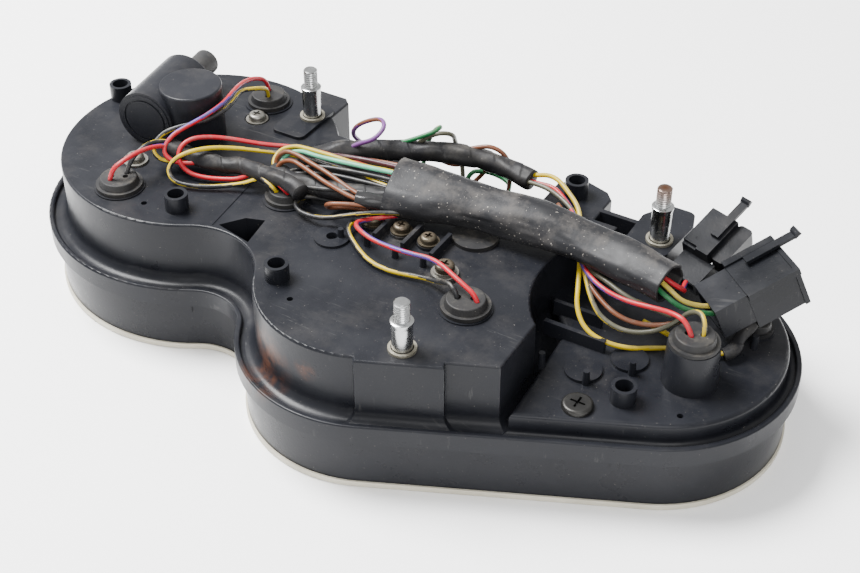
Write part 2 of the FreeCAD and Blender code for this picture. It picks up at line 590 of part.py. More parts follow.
def drive_end_cap():
    """Round cover pressed into the open end of the level barrel, with its turned rings."""
    face = LEVEL_NEAR - 0.4
    cap = along(face, LEVEL_NEAR + 1.9, CAP_R).fuse(along(LEVEL_NEAR + 1.8, LEVEL_NEAR + 4.5, 3.8))
    groove = along(face - 1, face + 0.5, 9.6).cut(along(face - 2, face + 2, 8.8))
    bearing = along(LEVEL_NEAR + 2.2, LEVEL_NEAR + 5, INPUT_R + RUN)
    return level(cap.removeSplitter().cut([groove, bearing]))


def cable_fitting():
    """Threaded nose that the speedometer cable's nut screws onto."""
    nose = along(LEVEL_FAR + 0.02, LEVEL_FAR + CABLE_LENGTH, CABLE_R)
    spigot = along(15.0, LEVEL_FAR + 1, CABLE_SPIGOT_R)
    return level(nose.fuse(spigot).removeSplitter().cut(along(10, 50, 2.8)))


def input_shaft():
    """Shaft that the cable turns, with its worm."""
    worm = gear(INPUT_TEETH, 5.4, 4.2, -5.0, 5.0, 0.5)
    worm.rotate(Vector(0, 0, 0), Vector(1, 0, 0), -90)
    shaft = along(LEVEL_NEAR + 2.6, 22.0, INPUT_R)
    return level(fused([shaft, worm]).cut(along(17.0, 30.0, 1.0)))


def magnet_spindle():
    """Driven wheel on top, worm in the middle and the magnet inside the speed cup."""
    x, y = SPINDLE
    wheel = gear(SPINDLE_TEETH, 8.6, 7.2, LEVEL_Z - 3.5, LEVEL_Z + 3.5, 0.5)
    wheel.translate(Vector(x, y, 0))
    return fused([cyl(x, y, 25.0, LEVEL_Z + 6.0, 1.5), wheel, cyl(x, y, WORM_Z - 4, WORM_Z + 4, WORM_R),
                  cyl(x, y, 19.6, 25.2, 9.8)])


WORM_TEETH = 16


def worm_wheel():
    """Wheel and axle that take the drive from the worm down to the drums."""
    x, y = SPINDLE
    wheel = gear(WORM_TEETH, 5.0, 4.0, -1.2, 1.2, 0.4)
    wheel.rotate(Vector(0, 0, 0), Vector(0, 1, 0), 90)
    return fused([wheel, rod((-8, 0, 0), (1, 0, 0), 16, 1.0)]).translated(Vector(x, y + WORM_REACH, WORM_Z))


def trip_reset_knob():
    rod_part = rod((KNOB_X, 46.5, KNOB_Z), (0, 1, 0), KNOB_START - 45.5, 1.5)
    knob = rod((KNOB_X, KNOB_START, KNOB_Z), (0, 1, 0), KNOB_END - KNOB_START, KNOB_R)
    knob = soften(knob, 0.8, lambda edge: edge.BoundBox.YMin > KNOB_END - 0.1)
    return fused([rod_part, knob])


# ---------------------------------------------------------------- fasteners
def phillips_screw(x, y, seat, head_r, head_h, shank_r, length, domed=True):
    """Cross-recess screw that stands on seat and points down."""
    head = cyl(x, y, seat, seat + head_h, head_r)
    if domed:
        head = soften(head, head_h * 0.55, at_height(seat + head_h))
    size = head_r * 0.5
    cross = [block(x - size, x + size, y - 0.45, y + 0.45, seat + head_h - 1.3, seat + head_h + 1),
             block(x - 0.45, x + 0.45, y - size, y + size, seat + head_h - 1.3, seat + head_h + 1)]
    return fused([head, cyl(x, y, seat - length, seat + 0.2, shank_r)]).cut(cross)


def stud(name):
    """Mounting stud: plain shoulder, small collar and an M6 end."""
    x, y = STUDS[name]
    top = STUD_TOPS[name]
    shoulder = top - THREAD_LENGTH
    body = fused([cyl(x, y, top - STUD_LENGTH, shoulder, 4.0), cyl(x, y, shoulder - 1.2, shoulder, 4.3),
                  cyl(x, y, shoulder, top, 3.0)])
    return soften(body, 0.5, at_height(top))


def stud_ring(name):
    """Crimped steel ring at the foot of a stud."""
    seat = HIGH_DECK + (1.4 if name == "1" else 0.0)
    return tube(*STUDS[name], seat + 0.01, seat + 1.1, 5.3, 4.2)


# ---------------------------------------------------------------- lamps
def lamp_holder(x, y, deck, bore_r, flange_r, turn=0):
    """Rubber holder: flange on the deck, plug below it, and the two holes its wires enter."""
    plug_r = bore_r - 0.08
    parts = [cyl(x, y, deck, deck + 1.6, flange_r), cyl(x, y, deck - 9.0, deck + 1, plug_r),
             cone(x, y, deck + 1.6, deck + 4.4, flange_r * 0.86, flange_r * 0.78)]
    body = fused(parts)
    body = soften(body, 0.6, at_height(deck + 4.4))
    reach = flange_r * 0.3
    holes = []
    for side in (-1, 1):
        hx = x + side * reach * math.cos(math.radians(turn))
        hy = y + side * reach * math.sin(math.radians(turn))
        holes.append(cyl(hx, hy, deck + 2.2, deck + 6, 1.15))
    return body.cut(holes + [cyl(x, y, deck - 10, deck - 3, bore_r * 0.45)])


def wedge_bulb(x, y, deck, r):
    """Glass bulb that hangs from a holder into the case."""
    body = cyl(x, y, deck - 10.5, deck - 3.1, r * 0.9)
    return fused([body, Part.makeSphere(r, Vector(x, y, deck - 11.5))])


# ---------------------------------------------------------------- connectors
def turned(yaw, pitch, roll):
    return Rotation(Vector(0, 0, 1), yaw).multiply(Rotation(Vector(0, 1, 0), -pitch)).multiply(
        Rotation(Vector(1, 0, 0), roll))


SMALL_PLUG = Placement(Vector(104.8, 43.0, 63.3), turned(74.0, 20.1, 3.7))
LARGE_PLUG = Placement(Vector(117.5, 26.3, 58.0), turned(48.1, 23.1, -4.7))
SMALL_ARM, LARGE_ARM = (8.0, 26.4), (20.0, 40.0)    # latch levers, along each connector


def placed(shape, place):
    moved = shape.copy()
    moved.Placement = place.multiply(moved.Placement)
    return moved


def small_connector():
    """Four-way connector: wire housing, main body and a rounded keeper beside it."""
    housing = block(-11.0, 0.5, -15.0, -1.0, -11.5, -5.0)
    main_body = block(0, 9.0, -12.0, 0, -7.5, -0.6).fuse(block(0, 18.9, -12.0, 0, -7.5, 0))
    step = block(-1, 1.2, -6.4, 1, -1.4, 1)
    keeper = slab([(1.2, -18.4), (20.0, -18.4), (20.0, -12.0), (1.2, -12.0)], -9.0, -2.6, 1.8)
    body = fused([housing, main_body.cut(step), keeper])
    mouth = [block(9.0, 25, -10.6, -1.4, -6.3, -1.6), block(-12, -6, -13.6, -2.4, -10.4, -6.2)]
    slot = block(10.0, 25, -17.0, -13.2, -7.8, -4.2)
    return body.cut(mouth + [slot])


def latch(arm, y_centre, width, hook, hook_width, lift):
    """Springy lever that lies just above its connector and hooks over the mating half."""
    start, end = arm
    bar = block(start, end, y_centre - width / 2, y_centre + width / 2, lift, lift + 1.3)
    nose = polygon([(end - 0.2, lift), (end + hook, lift + 1.0), (end + hook - 0.8, lift + 2.8),
                    (end + 0.4, lift + 2.2), (end - 0.2, lift + 1.3)])
    nose = nose.extrude(Vector(0, 0, hook_width))
    nose.rotate(Vector(0, 0, 0), Vector(1, 0, 0), 90)
    nose.translate(Vector(0, y_centre + hook_width / 2, 0))
    return fused([bar, nose])


def small_latch():
    return latch(SMALL_ARM, -9.2, 3.4, 2.2, 4.0, 0.3)


def large_connector():
    """Six-way connector: wire housing and a larger shroud with rails."""
    housing = block(0, 13.2, -18.7, 0, -13.5, 0)
    shroud = block(13.0, 33.9, -18.9, 2.2, -16.9, 0.6)
    rails = [block(13.0, 33.9, -20.9, -18.7, -1.6, 1.2), block(13.0, 33.9, -0.6, 2.6, 0.4, 1.4),
             block(32.0, 33.9, -19.5, 2.6, -17.2, 1.2)]
    body = fused([housing, shroud] + rails)
    return body.cut([block(19.0, 40, -17.0, 0.6, -15.2, -1.6), block(-1, 6, -17.2, -1.5, -12.0, -1.5)])


def large_latch():
    return latch(LARGE_ARM, -4.4, 3.6, 2.6, 4.4, 1.75)


# ---------------------------------------------------------------- wiring
WIRE_R = 1.05
WIRING = {                                  # radius and routes of each plain bundle
    "speedometer_lamp_wires": (2.0, [
        [(-92.3, 51.5, 63.05), (-93.0, 50.5, 71.0), (-96.0, 41.0, 77.0), (-93.5, 27.0, 78.5),
         (-87.0, 14.0, 77.0), (-88.5, 1.0, 72.0), (-94.5, -5.0, 66.0)],
        [(-107.2, -32.0, 63.05), (-107.5, -30.0, 69.0), (-108.0, -21.0, 71.5), (-104.5, -12.5, 68.5),
         (-98.5, -8.5, 64.5)]]),
    "taped_link": (3.4, [
        [(-91.0, -5.7, 64.0), (-78.0, -3.5, 63.5), (-66.0, -2.7, 64.0), (-55.0, -4.0, 66.0),
         (-45.0, -6.0, 68.0), (-35.0, -8.0, 69.0)]]),
    "cross_wires": (4.2, [
        [(-93.0, 2.5, 64.5), (-78.0, 12.0, 63.5), (-59.0, 17.5, 64.0), (-40.0, 17.5, 66.0),
         (-22.0, 14.5, 67.5), (-5.6, 12.0, 68.5)]]),
    "taped_branch": (4.2, [
        [(-44.0, 30.0, 64.0), (-33.0, 36.5, 64.5), (-19.0, 44.0, 65.0), (-5.0, 50.0, 63.5),
         (10.0, 54.0, 62.0), (24.0, 53.5, 61.0), (36.0, 50.5, 61.5)]]),
    "lamp_wires": (WIRE_R, [
        [(-14.0, -1.0, 65.0), (-11.5, -8.0, 62.5), (-3.0, -17.0, 61.0), (9.0, -23.5, 60.5),
         (26.0, -22.5, 61.5), (37.5, -25.5, 64.5), (43.5, -28.5, 65.8), (48.6, -29.9, 63.4)],
        [(-9.5, 0.5, 65.5), (-7.0, -6.0, 64.0), (2.5, -11.0, 64.0), (15.0, -13.5, 65.0),
         (28.0, -14.5, 67.0), (39.0, -17.0, 68.5), (49.0, -25.5, 68.0), (54.2, -27.6, 63.4)],
        [(-30.0, 33.5, 67.0), (-25.5, 34.5, 73.0), (-27.5, 40.5, 76.5), (-33.5, 46.5, 73.0),
         (-36.0, 52.0, 65.0), (-36.3, 53.5, 55.0), (-36.0, 53.0, 44.5)],
        [(-18.0, 42.5, 68.0), (-11.0, 45.5, 73.5), (-10.5, 52.0, 74.0), (-14.0, 55.0, 65.5),
         (-16.0, 54.0, 55.0), (-16.0, 53.0, 44.5)],
        [(-9.0, 48.0, 67.0), (-3.0, 50.5, 72.0), (1.5, 55.0, 66.5), (4.0, 55.5, 56.0), (4.0, 53.0, 44.5)],
        [(8.0, 53.0, 65.0), (15.0, 55.5, 69.0), (21.5, 58.0, 65.0), (24.0, 57.5, 55.0), (24.0, 53.5, 44.5)],
        [(5.0, 51.5, 44.5), (6.0, 52.0, 51.0), (10.5, 55.5, 56.5), (17.5, 57.0, 55.5), (22.0, 54.5, 50.5),
         (23.0, 52.0, 44.5)]]),
    "gauge_wires": (2.4, [
        [(37.0, 50.0, 61.5), (47.0, 46.5, 63.5), (59.0, 39.0, 63.5), (70.0, 27.0, 60.5), (79.0, 17.0, 54.0),
         (91.0, 9.5, 51.0), (104.0, 7.5, 54.5), (114.0, 5.0, 60.5), (123.0, 1.5, 64.5), (129.5, -1.8, 60.6)],
        [(104.0, 9.5, 50.0), (114.0, 11.0, 45.0), (124.0, 12.5, 42.3), (133.0, 12.5, 41.8),
         (138.5, 17.0, 42.3),
         (139.0, 25.0, 46.0), (140.5, 31.0, 47.0), (141.0, 36.0, 44.5)]]),
    "connector_wires": (2.6, [
        [(114.3, 11.5, 66.5), (118.0, 12.5, 62.0), (121.5, 16.5, 56.5), (125.0, 20.6, 53.0)],
        [(112.0, 12.5, 66.0), (112.0, 18.0, 61.5), (111.0, 24.0, 56.5), (110.0, 29.5, 53.5)]]),
}
SLEEVE_ROUTE = [(-4.0, 11.5, 69.0), (15.0, 14.0, 69.0), (36.0, 17.0, 69.0), (57.0, 18.5, 69.0),
                (79.0, 18.0, 67.5), (100.0, 14.5, 67.0), (113.5, 11.0, 67.5)]
SLEEVE_HALF_WIDTH, SLEEVE_HALF_HEIGHT, SLEEVE_TILT = 10.5, 6.0, 20.0


def rounded_path(name, points):
    """Straight runs joined by arcs, each as large as its two runs allow."""
    corners = [Vector(*point) for point in points]
    edges, here, radii = [], corners[0], []
    for before, corner, after in zip(corners, corners[1:], corners[2:]):
        into, out = corner - before, after - corner
        reach = 0.45 * min(into.Length, out.Length)
        half_turn = into.getAngle(out) / 2
        into.normalize()
        out.normalize()
        radius = reach / math.tan(half_turn)
        bisector = out - into
        bisector.normalize()
        start, end = corner - into * reach, corner + out * reach
        middle = corner + bisector * (radius / math.cos(half_turn) - radius)
        edges += [Part.LineSegment(here, start).toShape(), Part.Arc(start, middle, end).toShape()]
        radii.append(round(radius))
        here = end
    edges.append(Part.LineSegment(here, corners[-1]).toShape())
    print(f"{name}: arc radii {radii} mm")
    return Part.Wire(edges)


def swept(name, path, profile, section):
    solid = path.makePipeShell([profile], True, False)
    expected = section * path.Length
    print(f"{name}: length {path.Length:.0f} mm, volume {solid.Volume / expected:.3f} of section x length")
    return solid


def cord(name, points, radius):
    """Round tube along a route."""
    path = rounded_path(name, points)
    start, heading = Vector(*points[0]), Vector(*points[1]) - Vector(*points[0])
    profile = Part.Wire(Part.Circle(start, heading, radius).toShape())
    return swept(name, path, profile, math.pi * radius ** 2)


def harness_sleeve():
    """Flattened sleeve that holds the main harness across the back."""
    path = rounded_path("harness_sleeve", SLEEVE_ROUTE)
    oval = Part.Ellipse(Vector(0, 0, 0), SLEEVE_HALF_WIDTH, SLEEVE_HALF_HEIGHT)
    profile = Part.Wire(oval.toShape())
    heading = Vector(*SLEEVE_ROUTE[1]) - Vector(*SLEEVE_ROUTE[0])
    yaw = math.degrees(math.atan2(heading.y, heading.x))
    upright = Rotation(Vector(0, 0, 1), yaw).multiply(Rotation(Vector(1, 0, 0), SLEEVE_TILT)).multiply(
        Rotation(Vector(0, 1, 0), Vector(0, 0, 1), Vector(1, 0, 0), "XYZ"))
    profile.Placement = Placement(Vector(*SLEEVE_ROUTE[0]), upright)
    return swept("harness_sleeve", path, profile, math.pi * SLEEVE_HALF_WIDTH * SLEEVE_HALF_HEIGHT)


# ---------------------------------------------------------------- main
def write_case():
    save("rear_case", rear_case())
    save("front_case", front_case())
    save("rim_gasket", rim_gasket())
    save("lens", lens())
    save("case_seal", case_seal())
    save("dial_mask", dial_mask())
    save("indicator_lenses", *indicator_lenses())
    save("indicator_light_box", indicator_light_box())


def write_movements():
    save("speedometer_frame", speedometer_frame())
    save("tachometer_frame", tachometer_frame())
    save("gauge_frame", gauge_frame())
    save("speedometer_dial", speedometer_dial())
    save("tachometer_dial", dial(*DIALS["tachometer"], [TACH_PIVOT]))
    save("gauge_dial", dial(*DIALS["gauge"], [TEMP_PIVOT, FUEL_PIVOT]))
    save("speedometer_needle", needle(SPINDLE, 35.0, 9.0, 140.0, 18.85))
    save("speed_cup", speed_cup())
    save("tachometer_needle", needle(TACH_PIVOT, 33.0, 9.0, 145.0, 26.0))
    save("temperature_needle", needle(TEMP_PIVOT, 15.0, 4.0, 220.0, 24.0))
    save("fuel_needle", needle(FUEL_PIVOT, 15.0, 4.0, 220.0, 24.0))
    save("electric_movements", movement_can(TACH_PIVOT, 19.0, FRAME_BOTTOM - 0.1),
         *[movement_can(pivot, 11.0, FRAME_BOTTOM - 0.1) for pivot in (TEMP_PIVOT, FUEL_PIVOT)])
    shafts = []
    for name, shaft_y, count in (("odometer", ODO_Y, ODO_DRUMS), ("trip", TRIP_Y, TRIP_DRUMS)):
        first = SPINDLE[0] + (count - 1) * (DRUM_W + 0.3) / 2
        for index in range(count):
            save(f"{name}_drum_{index + 1}", drum(first - index * (DRUM_W + 0.3), shaft_y))
        half = count * (DRUM_W + 0.3) / 2 + 2.6
        shafts.append(rod((SPINDLE[0] - half, shaft_y, DRUM_Z), (1, 0, 0), 2 * half, 1.2))
    save("drum_shafts", *shafts)


def write_drive():
    save("drive_housing", drive_housing())
    save("drive_end_cap", drive_end_cap())
    save("cable_fitting", cable_fitting())
    save("input_shaft", input_shaft())
    save("magnet_spindle", magnet_spindle())
    save("worm_wheel", worm_wheel())
    save("trip_reset_knob", trip_reset_knob())


def write_fasteners():
    save("mounting_studs", *[stud(name) for name in STUDS])
    save("stud_rings", *[stud_ring(name) for name in STUDS])
    save("case_screws", *[phillips_screw(x, y, SCREW_SEAT, 3.0, 2.4, 1.9, 10.5)
                          for x, y in BOSSES.values()])
    washer_top = HIGH_DECK + 1.0
    sunk_top = HIGH_DECK + 0.2
    (x1, y1), (x2, y2) = DECK_SCREWS
    save("deck_screws", phillips_screw(x1, y1, sunk_top, 3.6, 2.6, 1.9, 12.0),
         phillips_screw(x2, y2, washer_top, 3.6, 2.6, 1.9, 12.0),
         phillips_screw(*POD_SCREW, LOW_DECK, 5.8, 2.2, 1.9, 8.0))
    terminal_seat = HIGH_DECK + 2.0
    save("terminal_screws", *[phillips_screw(x, y, terminal_seat, 3.3, 2.4, 1.9, 12.0)
                              for x, y in TERMINALS])
    save("terminal_tags", *[tube(x, y, HIGH_DECK + 1.2, terminal_seat, 4.3, 2.0) for x, y in TERMINALS])
    x, y = GROUND_SCREW
    save("ground_screw", phillips_screw(x, y, HIGH_DECK + 3.0, 3.8, 2.8, 1.9, 14.0))
    save("screw_washers", tube(x1, y1, HIGH_DECK - 0.8, sunk_top, 4.8, 2.0),
         tube(x2, y2, HIGH_DECK, washer_top, 5.2, 2.0),
         tube(x, y, HIGH_DECK + 0.8, HIGH_DECK + 1.8, 5.3, 2.0),
         tube(x, y, HIGH_DECK + 1.85, HIGH_DECK + 3.0, 4.3, 2.0))


HOLDER_TURNS = {"left": 30, "upper": 120, "centre": 20, "neck": 20}


def write_lamps():
    top, shelf = HIGH_DECK + 0.6, LOW_DECK + 0.8
    holders = [lamp_holder(x, y, top, LAMP_BORE_R, FLANGE_R[name], HOLDER_TURNS[name])
               for name, (x, y) in HIGH_LAMPS.items()]
    holders.append(lamp_holder(*TOWER, TOWER_TOP, LAMP_BORE_R, 9.3, 20))
    save("large_lamp_holders", *holders)
    points = INDICATORS + [SMALL_LAMP]
    save("small_lamp_holders", *[lamp_holder(x, y, shelf, SMALL_BORE_R, 6.0, 90) for x, y in points])
    bulbs = [wedge_bulb(x, y, top, 3.2) for x, y in HIGH_LAMPS.values()]
    bulbs.append(wedge_bulb(*TOWER, TOWER_TOP, 3.2))
    save("lamp_bulbs", *bulbs, *[wedge_bulb(x, y, shelf, 2.05) for x, y in points])
    save("adjuster_plug", fused([cyl(33.4, 10.9, HIGH_DECK, HIGH_DECK + 1.6, 9.3),
                                 cyl(33.4, 10.9, HIGH_DECK - 4, HIGH_DECK + 0.5, 5.92)]))


def write_connectors():
    save("small_connector", placed(small_connector(), SMALL_PLUG))
    save("small_connector_latch", placed(small_latch(), SMALL_PLUG))
    save("large_connector", placed(large_connector(), LARGE_PLUG))
    save("large_connector_latch", placed(large_latch(), LARGE_PLUG))


def write_wiring():
    for name, (radius, routes) in WIRING.items():
        save(name, *[cord(name, route, radius) for route in routes])
    save("harness_sleeve", harness_sleeve())


def main():
    os.makedirs(PARTS, exist_ok=True)
    write_case()
    write_movements()
    write_drive()
    write_fasteners()
    write_lamps()
    write_connectors()
    write_wiring()


main()
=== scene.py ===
"""Three-dial motorcycle instrument cluster, face down on a pale floor.

The CAD frame supplies every rigid piece. This script adds the wiring, the tape and the sleeve, the threads,
the printing on the dials, and the finish of each surface. Routes are in millimetres, in the frame's axes.
"""
import bpy
import math
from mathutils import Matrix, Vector, noise


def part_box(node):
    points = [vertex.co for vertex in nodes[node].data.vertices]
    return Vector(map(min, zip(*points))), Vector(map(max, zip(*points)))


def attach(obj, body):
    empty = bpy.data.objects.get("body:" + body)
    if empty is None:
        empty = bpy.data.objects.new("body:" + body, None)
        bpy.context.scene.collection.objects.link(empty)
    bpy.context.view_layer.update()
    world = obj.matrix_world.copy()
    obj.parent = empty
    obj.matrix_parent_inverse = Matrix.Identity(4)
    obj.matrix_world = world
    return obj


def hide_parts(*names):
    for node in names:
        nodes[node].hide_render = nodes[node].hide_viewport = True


MM = 0.001
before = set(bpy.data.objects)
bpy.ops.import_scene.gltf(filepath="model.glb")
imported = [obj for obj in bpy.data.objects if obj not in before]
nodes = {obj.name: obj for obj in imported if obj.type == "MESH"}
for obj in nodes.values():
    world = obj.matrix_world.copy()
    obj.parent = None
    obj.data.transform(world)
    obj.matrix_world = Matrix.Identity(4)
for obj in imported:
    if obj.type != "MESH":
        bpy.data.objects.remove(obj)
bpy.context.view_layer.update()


# ---------------------------------------------------------------- camera
def add_camera():
    """Long lens from the front right, looking down on the middle of the case."""
    target = Vector((-3.8, 39.3, 0.0)) * MM
    place = Vector((264.6, -414.6, 414.9)) * MM
    data = bpy.data.cameras.new("camera")
    data.lens = 65.3
    data.sensor_width = 36.0
    camera = bpy.data.objects.new("camera", data)
    camera.location = place
    camera.rotation_euler = (target - place).to_track_quat("-Z", "Y").to_euler()
    bpy.context.scene.collection.objects.link(camera)
    bpy.context.scene.camera = camera


add_camera()


# ---------------------------------------------------------------- node materials
class Finish:
    """A procedural surface, built up one effect at a time."""

    def __init__(self, name, colour, roughness, metallic=0.0, specular=0.3):
        self.material = bpy.data.materials.new(name)
        self.material.use_nodes = True
        self.tree = self.material.node_tree
        self.shader = self.tree.nodes["Principled BSDF"]
        self.shader.inputs["Metallic"].default_value = metallic
        self.shader.inputs["Roughness"].default_value = roughness
        self.shader.inputs["Base Color"].default_value = (*colour, 1)
        self.shader.inputs["Specular IOR Level"].default_value = specular
        self.colour = None
        self.base = (*colour, 1)
        self.rough = roughness
        self.coords = self.node("ShaderNodeTexCoord").outputs["Object"]

    def node(self, kind, **settings):
        made = self.tree.nodes.new(kind)
        for key, value in settings.items():
            setattr(made, key, value)
        return made

    def link(self, source, target):
        self.tree.links.new(source, target)

    def noise(self, scale, detail=4.0, roughness=0.55, stretch=None):
        texture = self.node("ShaderNodeTexNoise")
        texture.inputs["Scale"].default_value = scale
        texture.inputs["Detail"].default_value = detail
        texture.inputs["Roughness"].default_value = roughness
        source = self.coords
        if stretch:
            mapping = self.node("ShaderNodeMapping")
            mapping.inputs["Scale"].default_value = stretch[:3]
            mapping.inputs["Rotation"].default_value = (0, 0, stretch[3])
            self.link(source, mapping.inputs["Vector"])
            source = mapping.outputs["Vector"]
        self.link(source, texture.inputs["Vector"])
        return texture.outputs["Fac"]

    def ranged(self, value, low, high, to_low=0.0, to_high=1.0):
        made = self.node("ShaderNodeMapRange")
        made.inputs["From Min"].default_value = low
        made.inputs["From Max"].default_value = high
        made.inputs["To Min"].default_value = to_low
        made.inputs["To Max"].default_value = to_high
        self.link(value, made.inputs["Value"])
        return made.outputs["Result"]

    def times(self, a, b):
        made = self.node("ShaderNodeMath", operation="MULTIPLY", use_clamp=True)
        self.link(a, made.inputs[0])
        if isinstance(b, float):
            made.inputs[1].default_value = b
        else:
            self.link(b, made.inputs[1])
        return made.outputs[0]

    def tint(self, mask, colour):
        """Mixes a colour in where the mask is high."""
        mix = self.node("ShaderNodeMix", data_type="RGBA")
        self.link(mask, mix.inputs["Factor"])
        if self.colour is None:
            mix.inputs["A"].default_value = self.base
        else:
            self.link(self.colour, mix.inputs["A"])
        mix.inputs["B"].default_value = (*colour, 1)
        self.colour = mix.outputs["Result"]
        self.link(self.colour, self.shader.inputs["Base Color"])
        return self

    def mottle(self, colour, scale=60.0, amount=0.6):
        """Broad uneven patches."""
        return self.tint(self.times(self.ranged(self.noise(scale), 0.35, 0.7), amount), colour)

    def dust(self, colour=(0.30, 0.27, 0.23), scale=90.0, amount=0.35, low=0.5, high=0.72):
        """Dust that settles on what faces up."""
        up = self.node("ShaderNodeSeparateXYZ")
        self.link(self.node("ShaderNodeNewGeometry").outputs["Normal"], up.inputs["Vector"])
        facing = self.ranged(up.outputs["Z"], 0.2, 0.95, 0.15, 1.0)
        patches = self.times(self.ranged(self.noise(scale, 8.0, 0.7), low, high), facing)
        return self.tint(self.times(patches, amount), colour)

    def specks(self, colour=(0.26, 0.24, 0.21), scale=1300.0, amount=0.5, low=0.73):
        """Small grains of dust."""
        return self.tint(self.times(self.ranged(self.noise(scale, 2.0, 0.5), low, low + 0.04), amount), colour)

    def scratches(self, colour, turn, amount=0.5, scale=60.0, thin=14.0, low=0.62):
        """Short light rubs in one direction."""
        lines = self.ranged(self.noise(scale, 6.0, 0.65, (1.0, thin, 1.0, turn)), low, low + 0.05)
        patches = self.ranged(self.noise(25.0), 0.48, 0.62)
        return self.tint(self.times(self.times(lines, patches), amount), colour)

    def spot(self, centre, radius, colour, amount=0.8, scale=160.0, low=0.42, high=0.6):
        """A colour patch round one point of the object, in millimetres."""
        gap = self.node("ShaderNodeVectorMath", operation="DISTANCE")
        self.link(self.coords, gap.inputs[0])
        gap.inputs[1].default_value = Vector(centre) * MM
        near = self.ranged(gap.outputs["Value"], radius * MM, 0.0)
        patches = self.times(near, self.ranged(self.noise(scale, 8.0, 0.7), low, high))
        return self.tint(self.times(patches, amount), colour)

    def grain(self, scale=900.0, strength=0.15, distance=0.0002, detail=3.0, stretch=None):
        bump = self.node("ShaderNodeBump")
        bump.inputs["Strength"].default_value = strength
        bump.inputs["Distance"].default_value = distance
        self.link(self.noise(scale, detail, 0.6, stretch), bump.inputs["Height"])
        if self.shader.inputs["Normal"].is_linked:
            self.link(self.shader.inputs["Normal"].links[0].from_socket, bump.inputs["Normal"])
        self.link(bump.outputs["Normal"], self.shader.inputs["Normal"])
        return self

    def uneven_gloss(self, spread=0.12, scale=70.0):
        value = self.ranged(self.noise(scale, 6.0, 0.6), 0.3, 0.7, self.rough - spread, self.rough + spread)
        self.link(value, self.shader.inputs["Roughness"])
        return self

    def clear(self, transmission, ior=1.49, alpha=1.0):
        self.shader.inputs["Transmission Weight"].default_value = transmission
        self.shader.inputs["IOR"].default_value = ior
        self.shader.inputs["Alpha"].default_value = alpha
        return self


RUST = (0.16, 0.055, 0.02)
DUSTY = (0.12, 0.11, 0.098)


def moulded(name, colour=(0.0065, 0.0070, 0.0092), roughness=0.33, rubbed=True):
    """Satin black moulding with a fine grain, dust and rubs."""
    made = Finish(name, colour, roughness, specular=0.15)
    made.mottle((0.0135, 0.0142, 0.0175), 35.0, 0.6).dust((0.06, 0.056, 0.052), 45.0, 0.22)
    if rubbed:
        made.scratches((0.065, 0.064, 0.062), 0.5, 0.35).scratches((0.055, 0.055, 0.053), 1.9, 0.3)
    return made.specks(amount=0.3).grain(1100.0, 0.2).uneven_gloss(0.08)


def vinyl(name, colour):
    """Skin of one wire, dulled by dirt."""
    made = Finish(name, colour, 0.38)
    made.mottle(tuple(0.62 * c + 0.02 for c in colour), 130.0, 0.55)
    made.dust((0.13, 0.115, 0.09), 260.0, 0.4, 0.5, 0.64)
    return made.grain(1500.0, 0.1).uneven_gloss(0.1, 300.0)


VINYL = {
    "red": (0.34, 0.004, 0.012), "blue": (0.055, 0.028, 0.17), "yellow": (0.38, 0.27, 0.004),
    "mint": (0.09, 0.33, 0.20), "green": (0.008, 0.10, 0.03), "brown": (0.12, 0.038, 0.015),
    "black": (0.007, 0.007, 0.008), "purple": (0.12, 0.035, 0.16), "maroon": (0.045, 0.008, 0.014),
    "grey": (0.060, 0.058, 0.038), "cream": (0.40, 0.31, 0.05)}
vinyls = {name: vinyl("vinyl_" + name, colour).material for name, colour in VINYL.items()}

tape_finish = Finish("tape", (0.0085, 0.0085, 0.010), 0.5, specular=0.15)
tape_finish.mottle((0.022, 0.021, 0.020), 90.0, 0.8).dust((0.11, 0.10, 0.085), 120.0, 0.4).specks(amount=0.4)
tape_finish.grain(420.0, 0.4, 0.0003).uneven_gloss(0.12)
sleeve_finish = Finish("sleeve", (0.008, 0.0082, 0.0098), 0.46, specular=0.14)
sleeve_finish.mottle((0.018, 0.018, 0.019), 40.0, 0.8).dust((0.15, 0.135, 0.12), 70.0, 0.35, 0.48, 0.68)
sleeve_finish.scratches((0.17, 0.155, 0.14), 0.4, 0.7, 90.0).scratches((0.14, 0.125, 0.11), 1.4, 0.6, 120.0)
sleeve_finish.specks((0.26, 0.24, 0.21), 1000.0, 0.7, 0.69).grain(240.0, 0.3, 0.0003).uneven_gloss(0.1)
shrink_finish = Finish("shrink_tube", (0.010, 0.010, 0.011), 0.25)
shrink_finish.mottle((0.026, 0.025, 0.024), 200.0).specks(amount=0.4).grain(500.0, 0.2)


# ---------------------------------------------------------------- cords
def smooth_route(points, steps=14):
    """Points along the NURBS spline that has the route's points as its control points."""
    data = bpy.data.curves.new("route", "CURVE")
    data.dimensions = "3D"
    data.resolution_u = steps
    spline = data.splines.new("NURBS")
    spline.points.add(len(points) - 1)
    for point, place in zip(spline.points, points):
        point.co = (*(Vector(place) * MM), 1)
    spline.order_u = 3
    spline.use_endpoint_u = True
    holder = bpy.data.objects.new("route", data)
    mesh = bpy.data.meshes.new_from_object(holder)
    line = [vertex.co.copy() for vertex in mesh.vertices]
    bpy.data.objects.remove(holder)
    bpy.data.meshes.remove(mesh)
    return line


def frames_along(line, up):
    """Tangent and two cross directions at each point, turned as little as possible."""
    side = None
    found = []
    for before, after in zip([line[0]] + line[:-1], line[1:] + [line[-1]]):
        tangent = (after - before).normalized()
        if side is None:
            side = tangent.cross(up).normalized()
        side = (side - tangent * side.dot(tangent)).normalized()
        found.append((side, tangent.cross(side)))
    return found


def line_length(line):
    return sum((b - a).length for a, b in zip(line, line[1:]))


